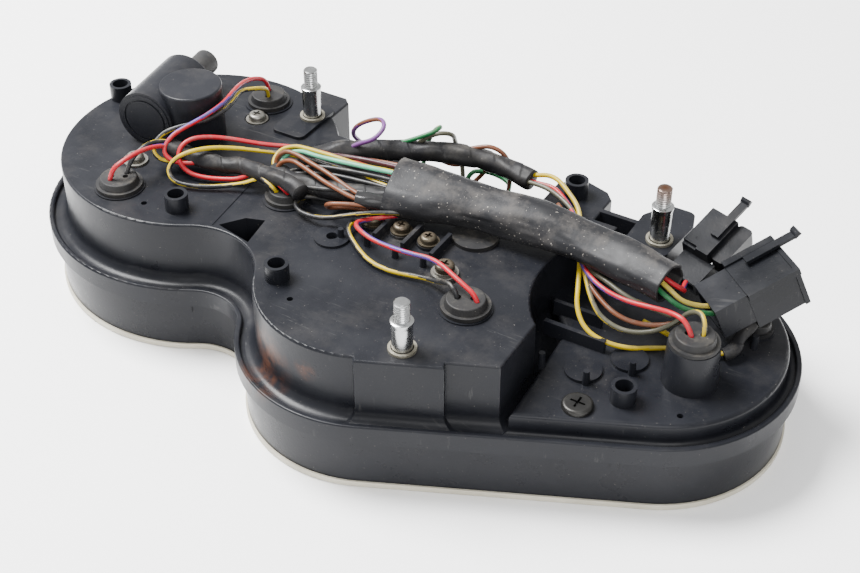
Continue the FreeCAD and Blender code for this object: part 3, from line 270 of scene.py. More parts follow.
def skin(name, line, ring, sides, materials, pick=None, up=Vector((0, 0, 1)), closed=True):
    """Tube over a line. ring(travel, angle) gives a point's offsets across and up, in metres."""
    vertices, faces, indices = [], [], []
    travel = 0.0
    for row, (place, (side, over)) in enumerate(zip(line, frames_along(line, up))):
        if row:
            travel += (place - line[row - 1]).length
        for step in range(sides):
            across, height = ring(travel, 2 * math.pi * step / sides)
            vertices.append(place + side * across + over * height)
    for row in range(len(line) - 1):
        for step in range(sides):
            after = (step + 1) % sides
            faces.append((row * sides + step, row * sides + after,
                          (row + 1) * sides + after, (row + 1) * sides + step))
            indices.append(pick(row, step) if pick else 0)
    if closed:
        faces += [tuple(range(sides))[::-1], tuple((len(line) - 1) * sides + step for step in range(sides))]
        indices += [0, 0]
    mesh = bpy.data.meshes.new(name)
    mesh.from_pydata(vertices, [], faces)
    for face, index in zip(mesh.polygons, indices):
        face.material_index = index
        face.use_smooth = True
    for material in materials:
        mesh.materials.append(material)
    made = bpy.data.objects.new(name, mesh)
    bpy.context.scene.collection.objects.link(made)
    return made


WIRE = 1.9 * MM
TURNS = 9                                   # rows that a tracer stripe keeps to before it steps round


def wire(name, node, colours, points, stripe=4):
    """One insulated wire. A second colour is its tracer stripe, that many sixteenths wide."""
    line = smooth_route(points)
    radius = WIRE / 2
    sides = 16

    def round_ring(travel, angle):
        return radius * math.cos(angle), radius * math.sin(angle)

    def tracer(row, step):
        start = (row // TURNS) + 3
        return 1 if len(colours) > 1 and (step - start) % sides < stripe else 0

    made = skin(name, line, round_ring, sides, [vinyls[colour] for colour in colours], tracer)
    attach(made, "cluster")
    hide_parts(node)
    return made


def taped(name, node, points, radius, material=None, pitch=12.0):
    """Bundle wound with tape, each turn lapping over the last."""
    line = smooth_route(points, 40)
    sides = 36

    def lapped(travel, angle):
        drift = 0.35 * noise.noise(Vector((travel * 70, 0.0, 0.0)))
        turn = (travel / (pitch * MM) + drift - angle / (2 * math.pi)) % 1.0
        lap = 0.26 * MM * turn
        lump = 0.7 * MM * noise.noise(Vector((travel * 130, math.cos(angle) * 1.1, math.sin(angle) * 1.1)))
        size = radius * MM + lap + lump
        return size * math.cos(angle), size * math.sin(angle)

    made = skin(name, line, lapped, sides, [material or tape_finish.material])
    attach(made, "cluster")
    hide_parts(node)
    return made


def sleeve():
    """Soft flattened tube round the main harness, wide at its open end and creased where it bends."""
    route = [(-4, 11.5, 69), (15, 14, 69), (36, 17, 69), (57, 18.5, 69), (79, 18, 67.5), (100, 14.5, 67),
             (113.5, 11, 67.5)]
    line = smooth_route(route, 60)
    whole = line_length(line)
    tilt = math.radians(-20.0)

    def oval(travel, angle):
        share = travel / whole
        half_width = (12.4 - 2.6 * min(1.0, share / 0.35) - 1.6 * share) * MM
        half_height = (6.3 - 0.5 * share) * MM
        across = half_width * math.copysign(abs(math.cos(angle)) ** 0.9, math.cos(angle))
        height = half_height * math.copysign(abs(math.sin(angle)) ** 0.9, math.sin(angle))
        place = Vector((travel * 30, math.cos(angle) * 0.9, math.sin(angle) * 0.9))
        fold = 1.1 * MM * noise.noise(place * 1.3) + 0.2 * MM * noise.noise(place * 4.0)
        grow = 1 + fold / half_height
        return ((across * math.cos(tilt) + height * math.sin(tilt)) * grow,
                (height * math.cos(tilt) - across * math.sin(tilt)) * grow)

    made = skin("harness_sleeve_skin", line, oval, 72, [sleeve_finish.material], closed=False)
    wall = made.modifiers.new("wall", "SOLIDIFY")
    wall.thickness = 0.9 * MM
    wall.offset = -1
    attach(made, "cluster")
    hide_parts("harness_sleeve")
    return made


SPEED, CROSS, LAMPS, GAUGE, PLUGS = ("speedometer_lamp_wires", "cross_wires", "lamp_wires", "gauge_wires",
                                     "connector_wires")


def speedometer_side():
    wire("upper_lamp_red", SPEED, ("red", "blue"), [
        (-93.5, 53.5, 62.6), (-94, 53.5, 68), (-95, 46, 72.5), (-94, 36.5, 75.5), (-91, 26, 77.5),
        (-88.5, 17, 78), (-89.5, 6.5, 77), (-93.5, -1.5, 75),
        (-98, -8, 72), (-98.5, -14, 67), (-91.5, -13, 62.8), (-82, -6.5, 64)])
    wire("upper_lamp_yellow", SPEED, ("black", "yellow"), [
        (-91, 49.5, 62.6), (-90.5, 48.5, 67), (-89.5, 43.5, 70.3), (-90.5, 38, 72.5), (-92.5, 32.5, 74),
        (-88, 21.5, 75.5), (-87, 12.5, 75.5), (-90.5, 4, 74.5), (-97.5, -3, 74), (-103, -8.5, 71.5),
        (-103.5, -15, 66.8), (-96.5, -14.5, 62.5), (-85, -7, 64)], stripe=7)
    wire("left_lamp_red", SPEED, ("red", "blue"), [
        (-108.3, -35.3, 62.6), (-107.5, -34.5, 67.5), (-104.5, -30, 70.5), (-102.2, -22.5, 71.5),
        (-100.4, -15.2, 70.3), (-97.5, -9.5, 68.3), (-91, -7, 66), (-86, -6.5, 65)])
    wire("left_lamp_yellow", SPEED, ("black", "yellow"), [
        (-105.6, -28.3, 62.6), (-105.2, -26.5, 67), (-103.2, -20.5, 71.5), (-101.5, -13.5, 71.5),
        (-98.5, -8, 69), (-92.5, -6, 66.5), (-87, -6, 65)], stripe=5)
    taped("taped_link_wrap", "taped_link", [
        (-98.5, -9, 67.3), (-91, -7.5, 65.5), (-80.3, -5.8, 64), (-73.7, -3.6, 63.5), (-66.7, -2, 64.5),
        (-58.9, -4.3, 66), (-49.2, -5.3, 67), (-39, -6.5, 67.5), (-34, -9, 67)], 3.2)
    wire("neck_lamp_red", "taped_link", ("red",), [
        (-76, -4.2, 63.8), (-66, -2.6, 64.6), (-57, -4.6, 66), (-49, -6.3, 67), (-42.5, -8.8, 66.3),
        (-41, -6.3, 61.5), (-42.3, -4, 56)])
    wire("neck_lamp_yellow", "taped_link", ("black", "yellow"), [
        (-76, -4.6, 63.2), (-66, -3, 64), (-58, -5, 65.4), (-52, -8.3, 66.6), (-46.8, -9.5, 65.3),
        (-46, -7, 60.5), (-46.9, -5.4, 56)], stripe=6)


def cross_harness():
    wire("return_red", CROSS, ("red",), [
        (10, 16, 70), (-5, 16, 70.5), (-20, 17, 69.5), (-35, 18.5, 68), (-47, 19.5, 66.5), (-57.7, 17.5, 66),
        (-66.5, 12, 67), (-78.3, 5.8, 69.5), (-86, -0.5, 71.5), (-90.5, -5.5, 71.5), (-92.5, -10, 69),
        (-91, -13, 64.5), (-86, -13.3, 61), (-79, -11.5, 60.1), (-72, -8.5, 60.1), (-65, -6.5, 61.5),
        (-60, -4.6, 65.3), (-54, -4.8, 66.3)])
    wire("return_yellow", CROSS, ("yellow", "black"), [
        (8, 10, 68), (-6, 10.5, 68.5), (-20, 11.5, 68), (-35, 13, 66.5), (-47, 14.5, 65.5), (-57.7, 12.5, 65.5),
        (-66, 8, 66.5), (-74.3, 3, 67.8), (-81, -4, 69.8), (-86.5, -10.5, 69.8), (-91.5, -15, 67),
        (-92.5, -18.5, 63), (-88, -20.5, 60.3), (-80, -18.5, 59.8), (-73, -15, 59.8), (-66.5, -11, 60.5),
        (-60, -8.5, 62.5), (-54, -4.8, 66), (-48, -5, 67)], stripe=6)
    wire("main_yellow", CROSS, ("yellow",), [
        (-42, 1, 62.5), (-51, 1.5, 62), (-58, 5.5, 64), (-58.5, 11.5, 67.3), (-52.5, 14.3, 69.8), (-46, 14, 70.7), (-36.8, 13.5, 71.5),
        (-30, 13.5, 71.7), (-20, 14.5, 70.8), (-8, 16.5, 71.5), (4, 17.5, 71.5)])
    wire("main_mint", CROSS, ("mint",), [
        (-38, 0.5, 62.3), (-47, 1, 62.4), (-53.5, 4.5, 64.6), (-54, 9.8, 68), (-48, 12, 70.3), (-40, 11.2, 70.8), (-30, 11, 72), (-16, 12, 73),
        (-5, 14, 73), (8, 16, 72.5)])
    wire("main_maroon", CROSS, ("maroon",), [
        (-45, 19, 65.5), (-38, 17.5, 68.5), (-29, 16, 71.5), (-20, 16.5, 72.8), (-11, 17.5, 73), (0, 19, 73),
        (10, 19.5, 72)])
    wire("far_brown", CROSS, ("brown",), [
        (-40, 22, 64.5), (-30, 20.5, 67.5), (-20, 20, 70.5), (-11, 20, 72), (-2, 21, 72.5), (8, 21, 72)])
    shrink = taped("shrink_tube", CROSS, [(-13, -1.5, 67), (-7, 0.5, 66.8), (0, 3, 66.5), (6, 5, 66.5)], 3.0,
                   material=shrink_finish.material, pitch=200.0)
    wire("brown_upper", CROSS, ("brown",), [
        (6, 6, 67), (-3, 3.5, 67), (-10, 0.8, 67.3), (-17, 1.5, 68), (-25, 3.5, 69), (-32, 5, 70), (-39, 6, 70.7),
        (-46, 7.8, 71), (-53, 8.5, 70.8), (-57, 6.5, 66.3), (-54, 4, 61.6),
        (-46, 3.5, 60.4), (-38, 4, 60.6)])
    wire("brown_middle", CROSS, ("brown",), [
        (6, 4, 66), (-3, 2, 66), (-9, -1, 66.5), (-14, -2, 67.5), (-21, -1.5, 68.5), (-28, -0.5, 69.2),
        (-34, 1, 69.7), (-41, 3.2, 70), (-48, 5, 70), (-53.7, 4, 66.8), (-53, 1.5, 61.6), (-46, 0, 60.2),
        (-38, 0.5, 60.4)])
    wire("brown_lower", CROSS, ("brown",), [
        (5, 3.5, 65.5), (-4, 0, 65.5), (-10, -3.5, 66.5), (-16, -6.5, 66.8), (-23, -8, 65.2),
        (-24.8, -4, 60.2), (-18.5, 1.5, 59.8), (-9, 1.5, 61.5)])
    wire("black_top", CROSS, ("black",), [
        (-52, 2.5, 62.5), (-47, 3.5, 66), (-38, 7.2, 69.2), (-25, 9.3, 70.3), (-12, 11.5, 70.6), (-3.5, 12.5, 70.6),
        (8, 13.5, 70.3)])
    wire("black_middle", CROSS, ("black",), [
        (-56, 0, 62), (-46, 3, 65.2), (-34, 6.5, 67.6), (-19, 8.3, 68.3), (-2, 9.5, 68.8), (10, 10, 68.8)])
    wire("black_far", CROSS, ("black",), [
        (-62, 17, 62.5), (-50, 16.5, 64), (-35, 15, 66), (-20, 13.8, 67), (-5, 13.5, 67.5), (8, 14, 67.5)])
    trunk = taped("trunk_wrap", CROSS, [
        (-56, 4, 62.3), (-48, 2.5, 63), (-38, 0.8, 63.6), (-28, 1, 64.6), (-18, 3, 65.6), (-6, 6, 66.5), (6, 8.5, 67)],
        3.4)
    wire("black_near", CROSS, ("black",), [
        (-50, -1.5, 61), (-38, -2, 64.5), (-26, -1.5, 67), (-13, 3, 68), (4, 7, 68)])
    wire("low_loop", CROSS, ("black", "yellow"), [
        (-20, 1, 60.5), (-28, 0, 60.5), (-35.5, -2, 61), (-38, -7.8, 61.5), (-33.5, -12.5, 61),
        (-26, -13.3, 61.2), (-19, -12.5, 62.5),
        (-13.4, -10, 64.3), (-5, -5, 65.6), (3, 0, 65.6), (11, 4, 65.6)], stripe=1)
    taped("taped_branch_wrap", "taped_branch", [
        (-50, 14, 62.3), (-46, 19.5, 63.8), (-40, 25.5, 65), (-31, 32, 65), (-20, 38.5, 64.8), (-9, 44.5, 64.5),
        (2.3, 50.3, 64),
        (14.4, 54.2, 62.6), (25, 54, 62), (36, 52, 61.5)], 4.1)


def lamp_leads():
    wire("centre_lamp_yellow", LAMPS, ("black", "yellow"), [
        (0, 4, 61.3), (-6, -2, 61), (-10.8, -8, 61.5), (-9.8, -13.8, 61.5), (-1.8, -19.5, 60), (7.6, -24.7, 59.6),
        (16.9, -25.6, 59.6), (24.5, -23.9, 59.6), (31, -23, 60.2), (38, -25.3, 62.5),
        (43.5, -28, 67), (49.6, -31, 65), (49, -30, 56)], stripe=5)
    wire("centre_lamp_red", LAMPS, ("red", "blue"), [
        (3, 3, 62.3), (-3, -2, 61.8), (-7.8, -8, 62.6), (-6.5, -12.5, 64), (-1.5, -16, 64.8), (5.7, -18.5, 65), (15.4, -20.1, 66),
        (24.3, -20.6, 67), (31.3, -20.9, 68.3), (37.5, -22.8, 69), (44.1, -25.6, 68.5), (50.5, -27.5, 67),
        (55, -28.5, 65.5), (56.2, -28.7, 62.6)])
    wire("first_indicator_purple", LAMPS, ("purple", "brown"), [
        (-35, 28, 67), (-31, 28.5, 70), (-24.5, 30.5, 73), (-22.5, 36, 77), (-28.5, 41.3, 76.3), (-38, 39, 71.5),
        (-43.5, 42, 63), (-43, 50, 54), (-36.5, 53, 44.2)])
    wire("second_indicator_green", LAMPS, ("green", "yellow"), [
        (-24, 38, 65.5), (-17, 41, 68.5), (-11.5, 43.5, 71), (-6, 46.8, 73.8), (-5.8, 52.3, 73.5), (-11.5, 56.3, 68),
        (-16, 56, 58), (-16, 53, 44.2)], stripe=2)
    wire("third_indicator_grey", LAMPS, ("grey",), [
        (-14, 43.5, 66), (-10, 45.5, 70), (-4.3, 47.8, 73.3), (-0.3, 52.3, 71.3), (-2.3, 57, 64.5), (2, 57, 54.5),
        (4, 53, 44.2)])
    wire("fourth_indicator_brown", LAMPS, ("brown", "mint"), [
        (2, 51, 64.5), (9, 54.5, 67), (15.5, 56.5, 68.5), (21.5, 58.5, 64.5), (24, 58, 55), (24, 53.5, 44.2)],
        stripe=5)
    wire("indicator_link_brown", LAMPS, ("brown",), [
        (-4, 47, 61), (1, 48.5, 58.8), (6, 51, 60), (10.5, 54.5, 60), (12.5, 58, 56), (9, 58.5, 50),
        (4.3, 54.6, 44.2)])
    wire("indicator_link_green", LAMPS, ("green",), [
        (5, 51, 44.2), (5, 54.5, 53.5), (11.5, 58.5, 54), (19, 60.8, 51.5), (24.5, 57.5, 51),
        (23.3, 51.5, 44.2)])


def gauge_side():
    wire("gauge_yellow", GAUGE, ("yellow", "cream"), [
        (28, 54, 62), (36.3, 53.5, 63), (42.1, 53.8, 65.3), (47.8, 52, 66), (54, 48, 65), (61, 43.5, 62.8),
        (66, 36, 60.6), (70, 27, 60), (75, 17, 58.5), (79, 8, 55), (82, 1, 50), (88, -3.5, 45.5), (96, -4, 43.3),
        (104, -0.5, 41), (112, 6.5, 39.5), (121, 12.5, 39), (130, 14.5, 40)])
    wire("gauge_red", GAUGE, ("red", "blue"), [
        (30, 52, 61), (38.5, 51.5, 61.3), (46, 51.3, 62.5), (54, 46.5, 61.8), (62, 39.5, 60.8), (68, 30, 60),
        (73, 20.5, 60), (79, 11.5, 60.5), (89, 5, 60), (100, 3, 59.5), (111.9, 2, 61.8), (121, -1.5, 65.4),
        (127, -3.5, 65), (129.4, -4.3, 60)])
    wire("gauge_grey", GAUGE, ("grey", "yellow"), [
        (30, 50.5, 61), (40, 49, 63), (48, 47.5, 63), (58, 43.5, 61.3), (65, 36.5, 60.3), (72, 24, 59.5),
        (79, 13, 57.5), (86, 5, 53), (92, 1.5, 49), (102, 1, 47), (112, 4, 49), (119.5, 6.5, 55), (123.5, 6.8, 61.5),
        (129.5, 4, 65.5), (133, -0.8, 62), (132.6, -1.4, 55)])
    wire("gauge_brown", GAUGE, ("brown",), [
        (52, 44, 60.3), (62, 36, 60), (71, 22, 58.5), (80, 12, 56), (88, 6.5, 54), (97, 2.5, 52), (106, 3.5, 50.5),
        (116, 6.5, 52), (121, 9, 55)])
    wire("gauge_thin_yellow", GAUGE, ("grey", "cream"), [
        (78, 14, 59), (87, 10, 61), (99, 5.5, 59.5), (108, 6.5, 57.5), (117, 9, 55)])
    elbow = taped("small_lamp_elbow", GAUGE, [
        (136.5, 13.3, 41.9), (139.5, 16, 42.6), (138.6, 22, 44.5), (140, 26, 47), (141.3, 32.8, 48.6),
        (141, 36, 42)], 2.2, pitch=9.0)
    wire("small_lamp_yellow", GAUGE, ("yellow",), [
        (106, 8, 49), (114, 10.5, 45), (123, 12, 42), (132, 12.5, 41), (139, 15.5, 42.3), (138.6, 22, 44.5),
        (140, 26, 47), (141.3, 32.8, 48.6), (141, 36, 42)])


def connector_leads():
    wire("plug_yellow", PLUGS, ("cream",), [
        (98, 15, 67), (107, 12, 67.8), (114.5, 9, 66.5), (118.7, 9.5, 63), (122, 13.5, 59.5), (126.5, 19, 56.5),
        (130, 23, 56)])
    wire("plug_green", PLUGS, ("green",), [
        (98, 13, 66), (108, 9, 66.3), (115, 6, 65), (119.5, 8, 61), (124, 12.5, 57.5), (129, 18.5, 54.5),
        (132, 22, 54)])
    wire("plug_red", PLUGS, ("red", "blue"), [
        (100, 16, 67), (109, 14, 67.2), (114.5, 13.5, 65.5), (117, 17, 61.8), (115.5, 22, 57.5), (113, 26.5, 54.5),
        (112.5, 31.5, 54)])
    wire("plug_black", PLUGS, ("black",), [
        (95, 18, 65.8), (105, 16.5, 67), (111, 19, 64), (111, 24.5, 58), (109, 31.5, 54)])


sleeve()
speedometer_side()
cross_harness()
lamp_leads()
gauge_side()
connector_leads()


# ---------------------------------------------------------------- finishes of the CAD pieces
def paint(finish, *names):
    for name in names:
        nodes[name].data.materials.clear()
        nodes[name].data.materials.append(finish.material)


case = moulded("moulded_case")
case.spot((-9.0, -74.0, 40.0), 16.0, RUST, 0.5).spot((12.0, -80.0, 46.0), 7.0, RUST, 0.6)
case.spot((35.0, -15.5, 58.5), 11.0, DUSTY, 0.5).spot((7.0, -1.0, 58.5), 13.0, DUSTY, 0.45)
paint(case, "rear_case")
paint(moulded("moulded_skirt", (0.0062, 0.0066, 0.0086), 0.3, rubbed=False), "front_case")
drive = moulded("moulded_drive", (0.0085, 0.0090, 0.0115), 0.36)
paint(drive, "drive_housing", "drive_end_cap")
cream = Finish("cream_rubber", (0.52, 0.49, 0.40), 0.55)
cream.mottle((0.34, 0.31, 0.24), 45.0, 0.7).specks((0.15, 0.12, 0.09), 400.0, 0.6).grain(700.0, 0.2)
paint(cream, "rim_gasket")
glass = Finish("clear_lens", (0.92, 0.94, 0.95), 0.06).clear(1.0, 1.58)
glass.grain(40.0, 0.02).uneven_gloss(0.03)
paint(glass, "lens")
rubber = Finish("holder_rubber", (0.010, 0.010, 0.0108), 0.55, specular=0.22)
rubber.mottle((0.024, 0.023, 0.0215), 110.0, 0.7).dust((0.10, 0.088, 0.07), 150.0, 0.4)
rubber.specks(amount=0.5).grain(600.0, 0.25).uneven_gloss(0.08)
paint(rubber, "large_lamp_holders", "small_lamp_holders", "adjuster_plug", "case_seal")
satin = moulded("satin_black", (0.010, 0.010, 0.011), 0.5, rubbed=False)
paint(satin, "dial_mask", "trip_reset_knob")
tinted = Finish("tinted_lens", (0.5, 0.2, 0.05), 0.15).clear(0.6)
tinted.mottle((0.35, 0.12, 0.03), 80.0).grain(900.0, 0.1)
paint(tinted, "indicator_lenses")
white_box = Finish("white_moulding", (0.72, 0.71, 0.67), 0.5)
white_box.mottle((0.60, 0.58, 0.52), 60.0).grain(800.0, 0.12)
paint(white_box, "indicator_light_box", "worm_wheel")
casting = Finish("die_casting", (0.46, 0.46, 0.45), 0.5, 0.9)
casting.mottle((0.30, 0.30, 0.29), 120.0).grain(500.0, 0.4).uneven_gloss(0.1)
paint(casting, "speedometer_frame", "tachometer_frame", "gauge_frame")
fitting = Finish("dark_fitting", (0.014, 0.014, 0.015), 0.5)
fitting.mottle((0.035, 0.033, 0.03), 150.0).dust(DUSTY, 160.0, 0.3).grain(450.0, 0.3).uneven_gloss(0.1)
paint(fitting, "cable_fitting")
dial_black = Finish("dial_black", (0.012, 0.012, 0.013), 0.6)
dial_black.mottle((0.02, 0.02, 0.022), 90.0).grain(1500.0, 0.08)
paint(dial_black, "speedometer_dial", "tachometer_dial", "gauge_dial")
orange = Finish("needle_orange", (0.75, 0.13, 0.02), 0.4)
orange.mottle((0.62, 0.10, 0.02), 200.0).grain(900.0, 0.08)
paint(orange, "speedometer_needle", "tachometer_needle", "temperature_needle", "fuel_needle")
spun = Finish("spun_aluminium", (0.72, 0.72, 0.72), 0.35, 1.0)
spun.mottle((0.55, 0.55, 0.55), 200.0).grain(900.0, 0.2).uneven_gloss(0.08)
paint(spun, "speed_cup")
can = Finish("drawn_can", (0.42, 0.42, 0.42), 0.4, 1.0)
can.mottle((0.28, 0.28, 0.27), 90.0).grain(700.0, 0.2, stretch=(1.0, 1.0, 12.0, 0.0)).uneven_gloss(0.1)
paint(can, "electric_movements")
drum_black = Finish("drum_black", (0.02, 0.02, 0.02), 0.55)
drum_black.mottle((0.035, 0.035, 0.035), 150.0).grain(1200.0, 0.1)
paint(drum_black, *[name for name in nodes if "_drum_" in name])
steel = Finish("bright_zinc", (0.42, 0.43, 0.435), 0.24, 1.0)
steel.mottle((0.24, 0.235, 0.22), 160.0, 0.7).grain(900.0, 0.15).uneven_gloss(0.08, 200.0)
steel.spot((94.9, 45.6, 82.5), 8.0, (0.16, 0.06, 0.02), 1.0, 260.0, 0.25, 0.4)
paint(steel, "drum_shafts", "input_shaft", "magnet_spindle")
ring_steel = Finish("dusty_ring", (0.26, 0.245, 0.20), 0.5, 0.7)
ring_steel.mottle((0.14, 0.125, 0.09), 300.0).grain(900.0, 0.4).uneven_gloss(0.1)
paint(ring_steel, "stud_rings")
zinc = Finish("dull_zinc", (0.24, 0.235, 0.215), 0.42, 0.9)
zinc.mottle((0.12, 0.11, 0.09), 260.0, 0.8).dust((0.26, 0.22, 0.17), 300.0, 0.5).grain(900.0, 0.3)
# the screws and washers within 60 mm of this point, at the right front, are painted near black
zinc.spot((101.5, -36.0, 40.0), 60.0, (0.018, 0.018, 0.0185), 1.0, 300.0, 0.1, 0.2)
paint(zinc, "case_screws", "deck_screws", "screw_washers")
rusty = Finish("tarnished_zinc", (0.085, 0.073, 0.052), 0.45, 0.75)
rusty.mottle((0.035, 0.024, 0.015), 300.0, 0.9).dust((0.24, 0.19, 0.14), 300.0, 0.5).grain(700.0, 0.5)
rusty.uneven_gloss(0.12)
paint(rusty, "terminal_screws", "terminal_tags", "ground_screw")
bulb = Finish("bulb_glass", (0.95, 0.95, 0.95), 0.05).clear(1.0, 1.45)
bulb.mottle((0.85, 0.85, 0.83), 100.0, 0.3)
paint(bulb, "lamp_bulbs")
nylon = moulded("connector_nylon", (0.0055, 0.0060, 0.0075), 0.3)
paint(nylon, "small_connector", "small_connector_latch", "large_connector", "large_connector_latch")


# ---------------------------------------------------------------- studs with real threads
def lathe_rows(centre, rows, sides=48):
    """Rings of vertices about an upright line. Each row gives a height and a radius for every angle."""
    vertices, faces = [], []
    for height, radius in rows:
        for step in range(sides):
            angle = 2 * math.pi * step / sides
            size = radius(angle)
            vertices.append((centre[0] + size * math.cos(angle), centre[1] + size * math.sin(angle), height))
    for row in range(len(rows) - 1):
        for step in range(sides):
            after = (step + 1) % sides
            faces.append((row * sides + step, row * sides + after, (row + 1) * sides + after,
                          (row + 1) * sides + step))
    faces += [tuple(range(sides))[::-1], tuple((len(rows) - 1) * sides + step for step in range(sides))]
    return vertices, faces


def threaded_stud(name, centre, bottom, top):
    """Plain shank, flared collar and an M6 end with a coarse thread."""
    shoulder = top - 8.2 * MM

    def plain(size):
        return lambda angle: size * MM

    def thread(height):
        fade = min(1.0, (top - height) / (1.2 * MM), (height - shoulder) / (0.8 * MM))

        def radius(angle):
            turn = (height / MM - angle / (2 * math.pi)) % 1.0
            return (2.97 - 0.42 * fade * (1 - abs(2 * turn - 1))) * MM
        return radius

    rows = [(bottom, plain(3.9)), (shoulder - 2.6 * MM, plain(3.95)), (shoulder - 2.0 * MM, plain(4.0)),
            (shoulder - 0.9 * MM, plain(4.28)), (shoulder - 0.2 * MM, plain(4.3)), (shoulder, plain(4.0)),
            (shoulder + 0.05 * MM, plain(3.0))]
    step = 0.12 * MM
    height = shoulder + step
    while height < top - 0.4 * MM:
        rows.append((height, thread(height)))
        height += step
    rows += [(top - 0.3 * MM, plain(2.75)), (top, plain(2.45)), (top, plain(1.0))]
    vertices, faces = lathe_rows(centre, rows)
    mesh = bpy.data.meshes.new(name)
    mesh.from_pydata(vertices, [], faces)
    mesh.materials.append(steel.material)
    mesh.shade_smooth()
    mesh.set_sharp_from_angle(angle=math.radians(38))
    made = bpy.data.objects.new(name, mesh)
    bpy.context.scene.collection.objects.link(made)
    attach(made, "cluster")
    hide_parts("mounting_studs")


stud_mesh_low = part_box("mounting_studs")[0].z
for stud_name, centre, top in (("stud_far_left", (-68.6, 50.2), 82.5), ("stud_far_right", (94.9, 45.6), 82.5),
                               ("stud_near", (43.4, -59.7), 79.5)):
    threaded_stud(stud_name, Vector(centre) * MM, stud_mesh_low, top * MM)


# ---------------------------------------------------------------- printing on the dials
ink = Finish("dial_ink", (0.80, 0.80, 0.76), 0.6)
ink.mottle((0.70, 0.70, 0.66), 200.0, 0.5).grain(1500.0, 0.05)
red_ink = Finish("dial_red_ink", (0.62, 0.03, 0.02), 0.6)
red_ink.mottle((0.50, 0.02, 0.015), 200.0, 0.5).grain(1500.0, 0.05)
INK_T = 0.04 * MM
LABEL_SIZE = 6.4 * MM


class Print:
    """Marks laid on a flat dial, drawn in its own plane: x to the right and y to the top of the dial."""

    def __init__(self, name, body, material):
        self.name, self.body, self.material = name, body, material
        self.vertices, self.faces = [], []

    def add(self, vertices, faces):
        start = len(self.vertices)
        self.vertices += vertices
        self.faces += [tuple(start + index for index in face) for face in faces]

    def bar(self, angle, inner, outer, width):
        """Radial tick, a thin closed slab."""
        along = Vector((math.cos(angle), math.sin(angle), 0))
        across = Vector((-along.y, along.x, 0)) * width / 2
        corners = [along * inner - across, along * outer - across, along * outer + across, along * inner + across]
        lift = Vector((0, 0, INK_T))
        self.add(corners + [corner + lift for corner in corners],
                 [(3, 2, 1, 0), (4, 5, 6, 7), (0, 1, 5, 4), (1, 2, 6, 5), (2, 3, 7, 6), (3, 0, 4, 7)])

    def number(self, text, place, size, bend=None):
        data = bpy.data.curves.new("label", "FONT")
        data.body = text
        data.size = size
        data.align_x = "CENTER"
        data.align_y = "CENTER"
        data.extrude = INK_T / 2
        holder = bpy.data.objects.new("label", data)
        mesh = bpy.data.meshes.new_from_object(holder)
        spots = [vertex.co + place for vertex in mesh.vertices]
        self.add([bend(spot) for spot in spots] if bend else spots,
                 [tuple(face.vertices) for face in mesh.polygons])
        bpy.data.objects.remove(holder)
        bpy.data.meshes.remove(mesh)

    def finish(self, place, flip=True):
        """place is the dial's centre, on the face that looks down."""
        turned = [Vector((v.x, -v.y, -v.z)) for v in self.vertices] if flip else self.vertices
        mesh = bpy.data.meshes.new(self.name)
        mesh.from_pydata([place + vertex for vertex in turned], [], self.faces)
        mesh.materials.append(self.material)
        made = bpy.data.objects.new(self.name, mesh)
        bpy.context.scene.collection.objects.link(made)
        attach(made, self.body)


def scale(name, centre, start, sweep, values, steps, edge, red_from=None, label_radius=None):
    """Ticks and numbers round a needle's sweep. Angles are those of the needle, in degrees from +X to +Y."""
    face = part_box("tachometer_dial")[0].z
    place = Vector((centre[0] * MM, centre[1] * MM, face))
    plain = Print(name + "_print", "cluster", ink.material)
    warning = Print(name + "_red_print", "cluster", red_ink.material)
    count = (len(values) - 1) * steps
    for index in range(count + 1):
        share = index / count
        angle = -math.radians(start + sweep * share)
        major = index % steps == 0
        target = warning if red_from is not None and share >= red_from else plain
        target.bar(angle, (edge - (4.2 if major else 2.4)) * MM, edge * MM, (0.9 if major else 0.5) * MM)
        if major and label_radius:
            spot = Vector((math.cos(angle), math.sin(angle), 0)) * label_radius * MM
            plain.number(str(values[index // steps]), spot, LABEL_SIZE)
    plain.finish(place)
    if red_from is not None:
        warning.finish(place)


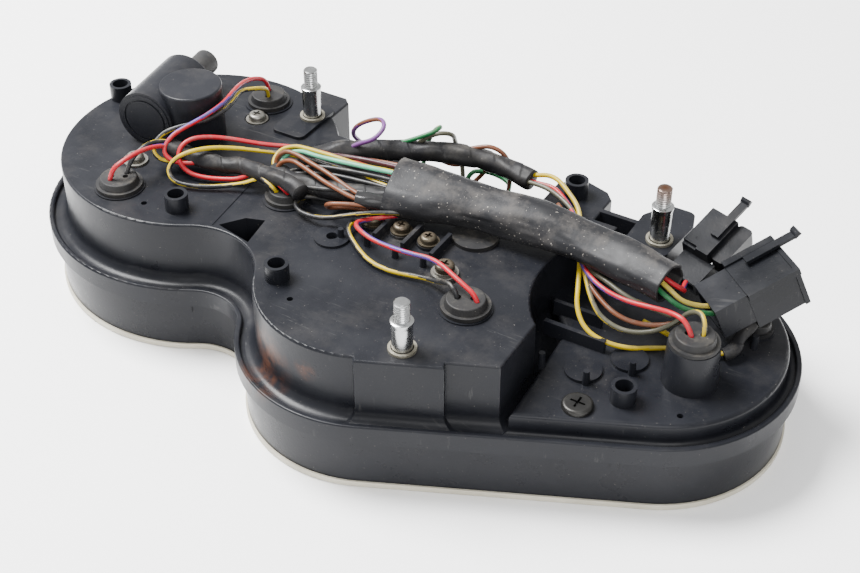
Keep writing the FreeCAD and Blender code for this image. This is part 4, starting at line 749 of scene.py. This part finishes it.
scale("speedometer", (-104.5, 15), 140, 260, list(range(0, 221, 20)), 4, 41, label_radius=32)
scale("tachometer", (13, -31), 145, 250, list(range(12)), 5, 39, red_from=0.86, label_radius=30.5)
scale("temperature", (90, 20), 220, 100, list(range(5)), 2, 19, red_from=0.95)
scale("fuel", (127, 20), 220, 100, list(range(5)), 2, 19)
DRUM_R = 5.8 * MM
DIGIT_SIZE = 4.6 * MM


def drum_digits(body, node):
    """Ten digits round a number drum, which turns about X."""
    low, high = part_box(node)
    middle = (low + high) / 2

    def round_the_drum(spot):
        angle = spot.y / DRUM_R
        size = DRUM_R + spot.z + INK_T / 2
        return Vector((spot.x, size * math.sin(angle), size * math.cos(angle)))

    digits = Print(body + "_digits", body, ink.material)
    for digit in range(10):
        digits.number(str(digit), Vector((0, digit * 2 * math.pi * DRUM_R / 10, 0)), DIGIT_SIZE, round_the_drum)
    digits.finish(middle)


for kind, drums in (("odometer", 5), ("trip", 3)):
    for index in range(1, drums + 1):
        drum_digits(f"{kind}_{index}", f"{kind}_drum_{index}")


# ---------------------------------------------------------------- floor and lights
def add_stage():
    mesh = bpy.data.meshes.new("floor")
    reach = 3.0
    mesh.from_pydata([(-reach, -reach, 0), (reach, -reach, 0), (reach, reach, 0), (-reach, reach, 0)], [],
                     [(0, 1, 2, 3)])
    floor = bpy.data.objects.new("floor", mesh)
    floor.location.z = -0.0002
    pale = Finish("floor_paper", (0.96, 0.96, 0.96), 0.8)
    pale.mottle((0.94, 0.94, 0.94), 3.0, 0.5)
    mesh.materials.append(pale.material)
    bpy.context.scene.collection.objects.link(floor)


def add_light(name, place, size, energy):
    data = bpy.data.lights.new(name, "AREA")
    data.shape = "DISK"
    data.size = size
    data.energy = energy
    light = bpy.data.objects.new(name, data)
    light.location = place
    light.rotation_euler = (-Vector(place)).to_track_quat("-Z", "Y").to_euler()
    bpy.context.scene.collection.objects.link(light)


add_stage()
add_light("key", (-0.62, -0.05, 1.1), 0.7, 72.0)
add_light("fill", (0.7, -0.9, 0.9), 0.9, 12.0)
world = bpy.data.worlds.new("studio")
world.use_nodes = True
world.node_tree.nodes["Background"].inputs["Color"].default_value = (1.0, 1.0, 1.0, 1.0)
world.node_tree.nodes["Background"].inputs["Strength"].default_value = 1.1
bpy.context.scene.world = world
